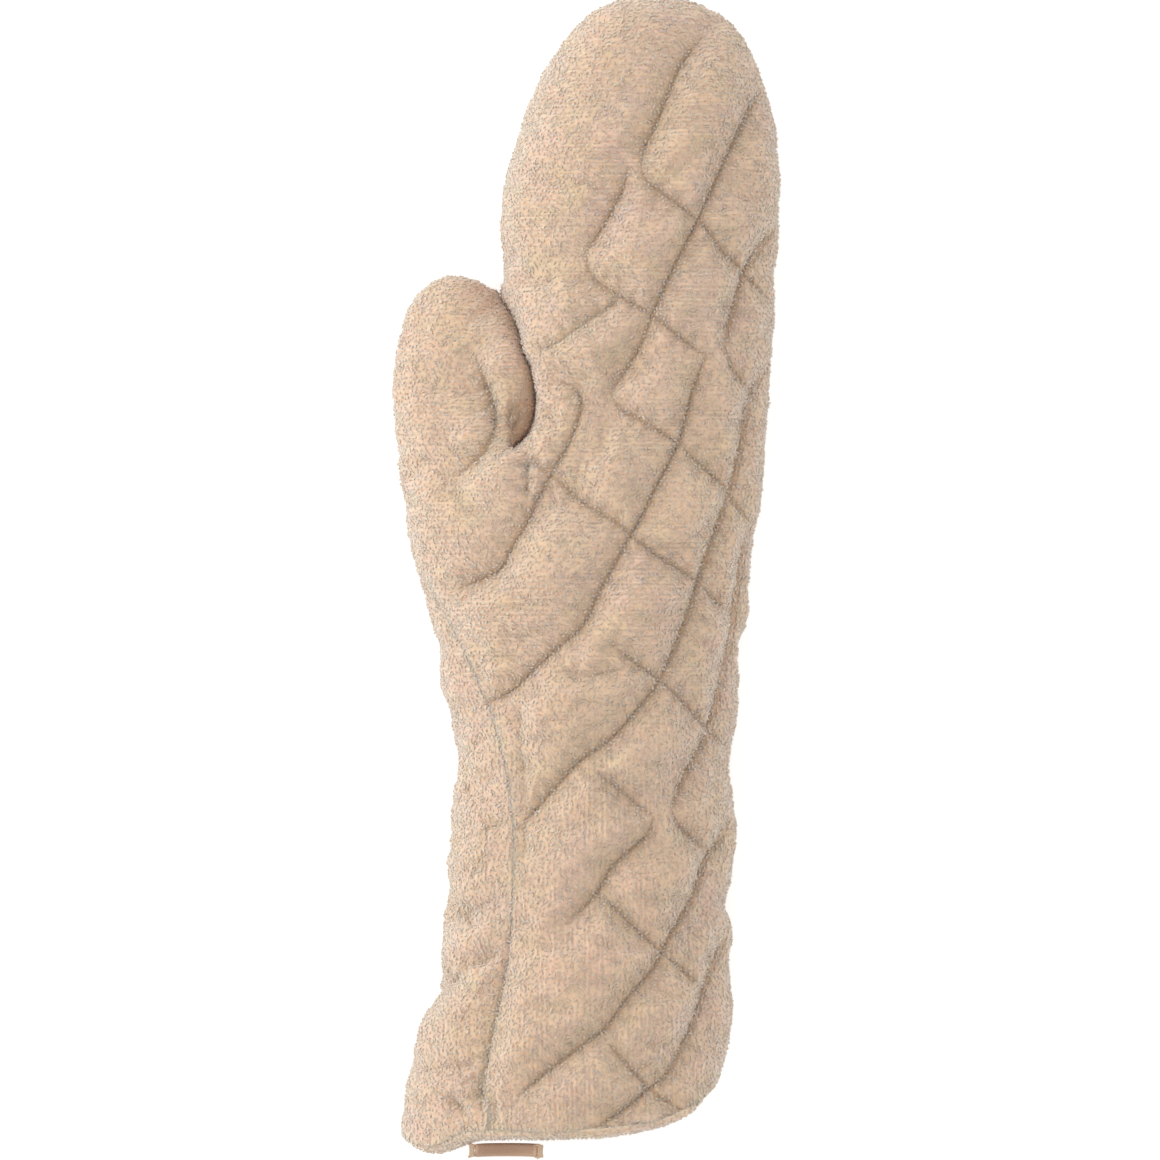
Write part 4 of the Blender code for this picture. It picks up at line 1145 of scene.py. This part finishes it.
class Pattern(Nodes):
    """A Geometry Nodes tree with named inputs, which ends in Realize Instances and Set Material."""

    def __init__(self, name, *inputs):
        super().__init__(bpy.data.node_groups.new(name, "GeometryNodeTree"))
        face = self.tree.interface
        face.new_socket("Geometry", in_out="INPUT", socket_type="NodeSocketGeometry")
        kinds = {**dict.fromkeys(inputs, "NodeSocketFloat"), "Finish": "NodeSocketMaterial"}
        self.sockets = {
            key: face.new_socket(key, in_out="INPUT", socket_type=kind).identifier
            for key, kind in kinds.items()
        }
        face.new_socket("Geometry", in_out="OUTPUT", socket_type="NodeSocketGeometry")
        self.given = self.tree.nodes.new("NodeGroupInput").outputs

    def random(self, low, high, seed):
        """A random value or vector for each instance, from a fixed seed."""
        vector = isinstance(low, tuple)
        kind, first = ("FLOAT_VECTOR", 0) if vector else ("FLOAT", 2)
        node = self.add("FunctionNodeRandomValue", {"data_type": kind}, Seed=seed)
        for socket, value in zip(node.inputs[first : first + 2], (low, high)):
            socket.default_value = value
        return node.outputs[0 if vector else 1]

    def end(self, instances):
        """The last nodes: plain geometry with its finish."""
        real = self.add("GeometryNodeRealizeInstances", Geometry=instances)
        smooth = self.add("GeometryNodeSetShadeSmooth", Geometry=real)
        done = self.add("GeometryNodeSetMaterial", Geometry=smooth, Material=self.given["Finish"])
        self.tree.links.new(done.outputs[0], self.tree.nodes.new("NodeGroupOutput").inputs[0])
        return self

    def grown(self, name, source, **values):
        """The pattern over a source object as a plain mesh object of its own; the source goes."""
        modifier = source.modifiers.new(name, "NODES")
        modifier.node_group = self.tree
        for key, value in values.items():
            modifier[self.sockets[key]] = value
        mesh = evaluated(source)
        bpy.data.objects.remove(source)
        mesh.name = name
        return linked(name, mesh)


def stitch_pattern():
    """Short stitches along lines, with a gap between one and the next."""
    pattern = Pattern("stitches_along_lines", "Pitch", "Length", "Radius")
    given, add = pattern.given, pattern.add
    lines = add("GeometryNodeMeshToCurve", Mesh=given["Geometry"])
    marks = add("GeometryNodeResampleCurve", {"mode": "LENGTH"}, Curve=lines, Length=given["Pitch"])
    ball = add("GeometryNodeMeshUVSphere", Segments=6, Rings=5, Radius=0.5)
    form = add("ShaderNodeCombineXYZ", X=given["Length"], Y=given["Radius"], Z=given["Radius"])
    stitch = add("GeometryNodeTransform", Geometry=ball, Scale=form)
    turn = add("FunctionNodeAlignRotationToVector", {"axis": "X"}, Vector=add("GeometryNodeInputTangent"))
    return pattern.end(add("GeometryNodeInstanceOnPoints", Points=marks, Instance=stitch, Rotation=turn))


def loop_pattern():
    """Terry loops scattered evenly over a surface, each bent, leaning and of its own tone."""
    pattern = Pattern("terry_loops", "Spacing", "Height", "Width", "Yarn")
    given, add = pattern.given, pattern.add
    dots = add("GeometryNodeDistributePointsOnFaces", {"distribute_method": "POISSON"},
               Mesh=given["Geometry"], Distance_Min=given["Spacing"], Density_Max=MOST_LOOPS, Seed=7)
    arc = add("GeometryNodeCurveArc", Resolution=3, Radius=0.5, Start_Angle=-LOOP_PAST,
              Sweep_Angle=math.pi + 2 * LOOP_PAST)
    form = add("ShaderNodeCombineXYZ", X=given["Width"], Y=given["Height"], Z=1.0)
    stood = add("GeometryNodeTransform", Geometry=arc, Scale=form)
    stood = add("GeometryNodeTransform", Geometry=stood, Rotation=(math.pi / 2, 0, 0))
    ring = add("GeometryNodeCurvePrimitiveCircle", Resolution=3, Radius=given["Yarn"])
    loop = add("GeometryNodeCurveToMesh", Curve=stood, Profile_Curve=ring, Fill_Caps=True)
    lean = pattern.random(tuple(-most for most in LOOP_LEAN), LOOP_LEAN, 3)
    turn = add("FunctionNodeRotateRotation", {"rotation_space": "LOCAL"}, Rotation=dots.outputs["Rotation"],
               Rotate_By=lean)
    placed = add("GeometryNodeInstanceOnPoints", Points=dots, Instance=loop, Rotation=turn,
                 Scale=pattern.random(*LOOP_SCALES, 5))
    return pattern.end(add("GeometryNodeStoreNamedAttribute", {"data_type": "FLOAT", "domain": "INSTANCE"},
                           Geometry=placed, Name="tone", Value=pattern.random(*LOOP_TONES, 9)))


def length_of(name, description, default):
    """A length that a user may change."""
    return FloatProperty(name=name, description=description, default=default, min=0.0, max=0.1,
                         subtype="DISTANCE", unit="LENGTH", precision=5)


def colour_of(name, description, default):
    """A colour that a user may change."""
    return FloatVectorProperty(name=name, description=description, default=default, size=3, min=0.0, max=1.0,
                               subtype="COLOR")


class ClothSizes(bpy.types.PropertyGroup):
    """Sizes of the quilted wall: its plies, its sewn rows and how it puffs between them."""

    terry: length_of("Terry", "Thickness of the terry cloth", 0.0026)
    wadding: length_of("Wadding", "Thickness of the wadding", 0.0042)
    lining: length_of("Lining", "Thickness of the lining", 0.0008)
    gap: length_of("Gap", "Room between two plies", 0.0003)
    deep_groove: length_of("Deep rows", "How far the rows that lean right are sewn in", 0.0036)
    light_groove: length_of("Light rows", "How far the rows that lean left are sewn in", 0.0027)
    fold_depth: length_of("Folds", "Depth of the deepest unsewn crease", 0.0032)
    groove_width: length_of("Groove", "Width of the narrow bottom of a sewn row", 0.0015)
    # The width of the painted shade beside a sewn row
    shade_width: length_of("Shade", "Width of the darker terry beside a sewn row", 0.0045)
    groove_reach: length_of("Shoulder", "How far a sewn row draws the cloth down beside it", 0.0115)
    slit_push: length_of("Slit", "How far thumb and hand are pushed together", 0.0009)
    seam_draw: length_of("Seam", "How far the side seam is drawn in", 0.0031)
    puff: length_of("Puff", "How far the cloth stands up between sewn rows when it isn't simulated", 0.0012)
    voxel: length_of("Voxel", "Size of the even mesh that is simulated", 0.0045)
    cap: length_of("Cap", "The most that the simulation may move the cloth", 0.0045)
    pressure: FloatProperty(name="Pressure", description="The wadding's pressure in the simulation",
                            default=100.0, min=0.0, max=500.0)
    crumple: length_of("Crumple", "Height of the cloth's soft unevenness", 0.0006)
    pucker: length_of("Pucker", "Height of the short gathers beside the sewn rows", 0.00045)
    pebble: length_of("Pebble", "Height of the terry's small bumps", 0.00022)


class LoopSizes(bpy.types.PropertyGroup):
    """Sizes of the terry's yarn loops."""

    spacing: length_of("Spacing", "Least distance between two terry loops", 0.00118)
    height: length_of("Height", "Height of a terry loop", 0.0009)
    width: length_of("Width", "Width of a terry loop", 0.0011)
    yarn: length_of("Yarn", "Radius of the terry yarn", 0.00040)


class StitchSizes(bpy.types.PropertyGroup):
    """Sizes of the sewing."""

    pitch: length_of("Pitch", "Distance from one stitch to the next", 0.0032)
    length: length_of("Length", "Length of a stitch", 0.0024)
    radius: length_of("Thread", "Width of the thread", 0.0006)


class TapeSizes(bpy.types.PropertyGroup):
    """Sizes of the hanging loop's tape."""

    width: length_of("Width", "Width of the tape", 0.0050)
    thickness: length_of("Thickness", "Thickness of the tape", 0.0014)
    sag: length_of("Sag", "How far the loop hangs from the line through its ends", 0.0130)


class Colours(bpy.types.PropertyGroup):
    """Colours of the cloths and the threads."""

    terry: colour_of("Terry", "Main colour of the terry", (0.800, 0.562, 0.393))
    terry_blush: colour_of("Blush", "Pinker patches of the terry", (0.835, 0.560, 0.475))
    terry_straw: colour_of("Straw", "Yellower specks of the terry", (0.800, 0.620, 0.360))
    # The crease colour is painted shade, laid in the terry's grooves, folds and seams
    crease: colour_of("Crease", "Colour of the terry where it is sewn down", (0.480, 0.315, 0.200))
    wadding: colour_of("Wadding", "Colour of the wadding", (0.78, 0.75, 0.70))
    lining: colour_of("Lining", "Colour of the lining", (0.66, 0.56, 0.44))
    thread: colour_of("Thread", "Colour of the sewing thread", (0.58, 0.42, 0.29))
    tape: colour_of("Tape", "Colour of the hanging loop", (0.70, 0.47, 0.33))


class StageSizes(bpy.types.PropertyGroup):
    """The camera and the lamps."""

    lens: FloatProperty(name="Lens", description="Focal length in millimetres", default=500.0, min=20.0,
                        max=1000.0, subtype="DISTANCE_CAMERA")
    key: FloatProperty(name="Key", description="Power of the soft lamp on the left", default=9.0, min=0.0,
                       max=1000.0, subtype="POWER", unit="POWER")
    fill: FloatProperty(name="Fill", description="Strength of the light from all round", default=0.99,
                        min=0.0, max=5.0)


class Made:
    """The cloth and the finishes that several operators share, each made once."""

    kept = {}

    @classmethod
    def get(cls, name, make):
        """The thing of this name, made the first time that it is asked for."""
        if name not in cls.kept:
            cls.kept[name] = make()
        return cls.kept[name]

    @classmethod
    def cloth(cls, scene):
        """The sewn and puffed outside of the bag."""
        return cls.get("cloth", lambda: Cloth(Bag(), scene.mitt_cloth))

    @classmethod
    def terry(cls, scene):
        """The terry's finish."""
        return cls.get("terry", lambda: terry_finish(scene.mitt_colours))

    @classmethod
    def thread(cls, scene):
        """The sewing thread's finish."""
        return cls.get("thread", lambda: thread_finish(scene.mitt_colours.thread))


def nodes_named(start):
    """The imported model's nodes whose names start with some words."""
    return [name for name in frame["nodes"] if name.startswith(start)]


class MITT_OT_terry(bpy.types.Operator):
    """Make the front and rear terry panels, sewn in rows and puffed between them"""

    bl_idname = "mitt.terry"
    bl_label = "Terry Panels"

    def execute(self, context):
        """Make both panels."""
        scene = context.scene
        cloth = Made.cloth(scene)
        inner = cloth.skin(scene.mitt_cloth.terry, PRESSED_SHARE)
        for panel in ("front", "rear"):
            ply = add_ply(cloth, f"{panel}_terry_cloth", panel, cloth.places, inner, True, Made.terry(scene))
            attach(ply, "mitt")
            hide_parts(f"{panel}_terry_panel")
        return {"FINISHED"}


class MITT_OT_inner_plies(bpy.types.Operator):
    """Make the wadding and the lining of both panels"""

    bl_idname = "mitt.inner_plies"
    bl_label = "Wadding and Lining"

    def execute(self, context):
        """Make the four inner plies, and keep their ends short of the hem's fold."""
        cloth = Made.cloth(context.scene)
        sizes, colours = context.scene.mitt_cloth, context.scene.mitt_colours
        top = sizes.terry + sizes.gap
        bed = top + sizes.wadding
        skins = {
            "batting": (cloth.skin(top, PRESSED_SHARE), cloth.skin(bed), wadding_finish(colours.wadding)),
            "lining": (cloth.skin(bed + sizes.gap), cloth.skin(bed + sizes.gap + sizes.lining),
                       weave_finish("lining_weave", colours.lining, LINING_PITCH)),
        }
        _, cut, deep = cloth.bag.rings
        for outer, inner, _ in skins.values():
            for places in (outer, inner):
                places[cut] += PLY_SHORT * (places[deep] - places[cut])
        for panel, (flat, area) in LINING_CUTS.items():
            for node, (outer, inner, finish) in skins.items():
                ply = add_ply(cloth, f"{panel}_{node}_ply", panel, outer, inner, False, finish)
                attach(ply, "mitt")
                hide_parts(f"{panel}_{node}")
        return {"FINISHED"}


class MITT_OT_hem(bpy.types.Operator):
    """Make the rolled terry hem round the cuff's open end"""

    bl_idname = "mitt.hem"
    bl_label = "Cuff Hem"

    def execute(self, context):
        """Sweep the hem's section round the cuff, round it off and roughen it."""
        places, faces = hem_mesh(Made.cloth(context.scene).bag, context.scene.mitt_cloth)
        hem = add_mesh("rolled_cuff_hem", places, faces, Made.terry(context.scene))
        outward(hem)
        soft = hem.modifiers.new("round", "SUBSURF")
        soft.levels = soft.render_levels = HEM_ROUNDINGS
        settle(hem)
        at, out = positions(hem.data), positions(hem.data, "normal")
        hem.data.vertices.foreach_set("co", (at + out * bumps(at, HEM_BUMPS)[:, None]).ravel())
        rest_on_floor(hem.data)
        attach(hem, "mitt")
        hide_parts("cuff_hem")
        return {"FINISHED"}


def hem_ring(bag, depth, inset):
    """Points round the cuff at a depth below the outside and at an inset from its end."""
    rows = [0.0, HEM_CUT, HEM_DEPTH]
    k = 0 if inset < HEM_CUT else 1
    share = (inset - rows[k]) / (rows[k + 1] - rows[k])
    low, high = bag.rings[k], bag.rings[k + 1]
    place = bag.base[low] * (1 - share) + bag.base[high] * share
    out = bag.out[low] * (1 - share) + bag.out[high] * share
    out[:, 1] *= share if k == 0 else 1
    out /= np.linalg.norm(out, axis=1)[:, None]
    return place - out * depth


def hem_mesh(bag, sizes):
    """The hem's section, rounded over the cuff's end, swept round the cuff."""
    bed = sizes.terry + sizes.gap + sizes.wadding + sizes.gap + sizes.lining + HEM_ROOM
    thick = bed + sizes.terry
    half, start = thick / 2, HEM_CUT + HEM_ROOM
    profile = [(sizes.terry, start), (HEM_SKIN, start)]
    for turn in np.linspace(0, math.pi, HEM_TURN_STEPS):
        profile.append((half - half * math.cos(turn), HEM_CUT * (1 - math.sin(turn) ** HEM_ROUND)))
    profile += [(thick + bulge, inset) for bulge, inset in HEM_BULGE]
    profile += [(thick, HEM_DEPTH), (bed, HEM_DEPTH), (bed, start)]
    rings = [hem_ring(bag, depth, max(inset, 0.0)) for depth, inset in profile]
    return np.vstack(rings), swept(len(rings[0]), len(rings), closed=True)


def swept(count, steps, closed=False):
    """The four-sided faces between rings of so many points, one ring after another."""
    faces = []
    for step in range(steps if closed else steps - 1):
        a, b = step * count, (step + 1) % steps * count
        faces += [(a + k, b + k, b + (k + 1) % count, a + (k + 1) % count) for k in range(count)]
    return faces


class MITT_OT_stitches(bpy.types.Operator):
    """Sew every row: the quilting of both sides, the side seam and the hem"""

    bl_idname = "mitt.stitches"
    bl_label = "Stitches"

    def execute(self, context):
        """Lay the stitches in their grooves."""
        cloth, sizes = Made.cloth(context.scene), context.scene.mitt_cloth
        bag, tree = cloth.bag, surface_tree(cloth.places, cloth.bag.faces)

        def laid(lines, above):
            """Sewn rows on the finished outside."""
            rows = [dropped(tree, line, above) for line in lines]
            return [placed + out * STITCH_LIFT for placed, out in rows]

        strip = spaced(curve(from_photo(CUFF_SIDE_ROW_PX)), CELL)
        inner = sizes.terry + sizes.wadding + sizes.lining + 2 * sizes.gap
        seam = np.arange(bag.leaves, len(bag.outline) - SEAM_THREAD_END)
        seam = bag.base[seam] - bag.out[seam] * (inner + SEAM_THREAD_DEPTH)
        hem = closed_ring(hem_ring(bag, inner + sizes.terry + HEM_THREAD_DEPTH, HEM_THREAD_INSET))
        runs = (
            ("front_quilting_stitches", laid(bag.deep + bag.light, True), "front_quilting_thread"),
            ("cuff_side_stitches", laid([strip], True), "cuff_side_quilting_thread"),
            ("rear_quilting_stitches", laid(bag.below, False), "rear_quilting_thread"),
            ("side_seam_stitches", [seam], "side_seam_thread"),
            ("hem_stitches", [hem], "hem_thread"),
        )
        pattern, stitch, thread = stitch_pattern(), context.scene.mitt_stitches, Made.thread(context.scene)
        for name, lines, node in runs:
            piece = pattern.grown(name, line_mesh(name + "_lines", lines), Pitch=stitch.pitch,
                                  Length=stitch.length, Radius=stitch.radius, Finish=thread)
            rest_on_floor(piece.data)
            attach(piece, "mitt")
            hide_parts(*nodes_named(node))
        return {"FINISHED"}


class MITT_OT_terry_loops(bpy.types.Operator):
    """Cover the terry with its yarn loops"""

    bl_idname = "mitt.terry_loops"
    bl_label = "Terry Loops"

    def execute(self, context):
        """Grow the loops on the upper and lower half of each panel, and on the hem."""
        cloth, loops = Made.cloth(context.scene), context.scene.mitt_loops
        bag, finish = cloth.bag, terry_finish(context.scene.mitt_colours, "terry_yarn_loops", True)
        pattern = loop_pattern()
        upper = cloth.places[bag.faces].mean(axis=1)[:, 1] > LOOPS_PART
        panels = bag.panel[bag.parent]
        grounds = []
        for panel in ("front", "rear"):
            for half, chosen in (("hand", upper), ("cuff", ~upper)):
                used, numbered = np.unique(bag.faces[(panels == panel) & chosen], return_inverse=True)
                ground = add_mesh("ground", cloth.places[used], numbered.reshape(-1, 3), finish)
                grounds.append((f"{panel}_terry_loops_{half}", ground, f"{panel}_terry_panel"))
        hem = linked("ground", bpy.data.objects["rolled_cuff_hem"].data.copy())
        for name, ground, slot in (*grounds, ("hem_terry_loops", hem, "cuff_hem")):
            piece = pattern.grown(name, ground, Spacing=loops.spacing, Height=loops.height, Width=loops.width,
                                  Yarn=loops.yarn, Finish=finish)
            rest_on_floor(piece.data)
            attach(piece, "mitt")
        return {"FINISHED"}


class MITT_OT_hanging_loop(bpy.types.Operator):
    """Make the hanging loop of tape and the bartacks that hold it"""

    bl_idname = "mitt.hanging_loop"
    bl_label = "Hanging Loop"

    def execute(self, context):
        """Bend the tape between its two ends, and wind a bartack at each."""
        sizes, colours = context.scene.mitt_tape, context.scene.mitt_colours
        left, right = np.array(LOOP_ENDS)
        length = np.linalg.norm(right - left)
        along = (right - left) / length
        way = np.array((along, (0, 1, 0), (-along[2], 0, along[0])))
        section = tape_section(sizes.width / 2, sizes.thickness / 2)
        points = []
        for turn in np.linspace(0, math.pi, TAPE_STEPS + 1):
            for y, inset in section:
                u = length / 2 - (length / 2 - inset) * math.cos(turn)
                points.append(np.array((u, y, -(sizes.sag - inset) * math.sin(turn))) @ way + left)
        count = len(section)
        ends = [tuple(range(count)), tuple(range(TAPE_STEPS * count, (TAPE_STEPS + 1) * count))[::-1]]
        weave = weave_finish("tape_twill", colours.tape, TWILL_PITCH, TWILL_LEAN)
        tape = add_mesh("loop_tape", points, ends + swept(count, TAPE_STEPS + 1), weave)
        outward(tape)
        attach(tape, "hanging_loop")
        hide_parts("hanging_loop")
        pattern = stitch_pattern()
        rows = np.linspace(-BARTACK_REACH, BARTACK_REACH, BARTACK_ROWS) * sizes.width / 2
        for side, u in (("left", -BARTACK_AWAY), ("right", length + BARTACK_AWAY)):
            zigzag = [(u + BARTACK_HALF * (1 if k % 2 else -1), y, 0.0) for k, y in enumerate(rows)]
            lines = line_mesh("bartack_line", [np.array(zigzag) @ way + left])
            piece = pattern.grown(f"loop_bartack_stitches_{side}", lines, **BARTACK_STITCH,
                                  Finish=Made.thread(context.scene))
            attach(piece, "mitt")
            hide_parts(f"loop_bartack_{side}")
        return {"FINISHED"}


def tape_section(half, bead):
    """The tape's section: how far across, and how far in from its outer face, round its two rounded edges."""
    edge, crown = half - bead / 2, TAPE_CROWN
    return (
        (-edge, 0), (-half / 2, -crown), (0, 0), (half / 2, -crown), (edge, 0), (half, bead),
        (edge, 2 * bead), (half / 2, 2 * bead + crown), (0, 2 * bead), (-half / 2, 2 * bead + crown),
        (-edge, 2 * bead), (-half, bead),
    )


class MITT_OT_stage(bpy.types.Operator):
    """Set up the white floor, the camera above and the soft lamps"""

    bl_idname = "mitt.stage"
    bl_label = "Stage"

    def execute(self, context):
        """Make the floor, the lamps and the camera."""
        scene, stage = context.scene, context.scene.mitt_stage
        mesh = bpy.data.meshes.new("floor")
        corners = [(x * FLOOR_REACH, y * FLOOR_REACH, 0) for x, y in ((-1, -1), (1, -1), (1, 1), (-1, 1))]
        mesh.from_pydata(corners, [], [(0, 1, 2, 3)])
        mesh.materials.append(floor_finish())
        linked("floor", mesh)
        camera = linked("camera", bpy.data.cameras.new("camera"))
        camera.data.lens, camera.data.sensor_width = stage.lens, SENSOR_WIDTH
        camera.data.clip_end = VIEW_END
        away = FRAME_SIZE * stage.lens / camera.data.sensor_width
        camera.location = (*from_photo(PHOTO_CENTRE_PX)[0], SEAM_HEIGHT + away)
        scene.camera = camera
        lamp = bpy.data.lights.new("key", "AREA")
        lamp.energy, lamp.size, lamp.shape = stage.key, KEY_SIZE, "DISK"
        key = linked("key", lamp)
        key.location = KEY_PLACE
        key.rotation_euler = Vector(KEY_PLACE).to_track_quat("Z", "Y").to_euler()
        world = bpy.data.worlds.new("soft_light")
        world.use_nodes = True
        light = world.node_tree.nodes["Background"].inputs
        light["Color"].default_value, light["Strength"].default_value = WHITE, stage.fill
        scene.world = world
        scene.view_settings.view_transform = "Standard"
        return {"FINISHED"}


GROUPS = {
    "mitt_cloth": ClothSizes,
    "mitt_loops": LoopSizes,
    "mitt_stitches": StitchSizes,
    "mitt_tape": TapeSizes,
    "mitt_colours": Colours,
    "mitt_stage": StageSizes,
}
STEPS = (
    MITT_OT_terry, MITT_OT_inner_plies, MITT_OT_hem, MITT_OT_stitches, MITT_OT_terry_loops,
    MITT_OT_hanging_loop, MITT_OT_stage,
)


class MITT_PT_sidebar(bpy.types.Panel):
    """The mitt's sizes, colours and steps"""

    bl_idname = "MITT_PT_sidebar"
    bl_label = "Oven Mitt"
    bl_space_type = "VIEW_3D"
    bl_region_type = "UI"
    bl_category = "Mitt"

    def draw(self, context):
        """List every size and colour, then every step."""
        for name, group in GROUPS.items():
            box = self.layout.box()
            for key in group.__annotations__:
                box.prop(getattr(context.scene, name), key)
        for step in STEPS:
            self.layout.operator(step.bl_idname)


def register():
    """Register the classes and give the scene their values."""
    for item in (*GROUPS.values(), *STEPS, MITT_PT_sidebar):
        bpy.utils.register_class(item)
    for name, group in GROUPS.items():
        setattr(bpy.types.Scene, name, PointerProperty(type=group))


def unregister():
    """Take the values and the classes away again."""
    for name in GROUPS:
        delattr(bpy.types.Scene, name)
    for item in (MITT_PT_sidebar, *reversed(STEPS), *reversed(list(GROUPS.values()))):
        bpy.utils.unregister_class(item)


def main():
    """Make the mitt and its stage."""
    register()
    for step in STEPS:
        group, name = step.bl_idname.split(".")
        getattr(getattr(bpy.ops, group), name)()


if __name__ == "__main__":
    main()
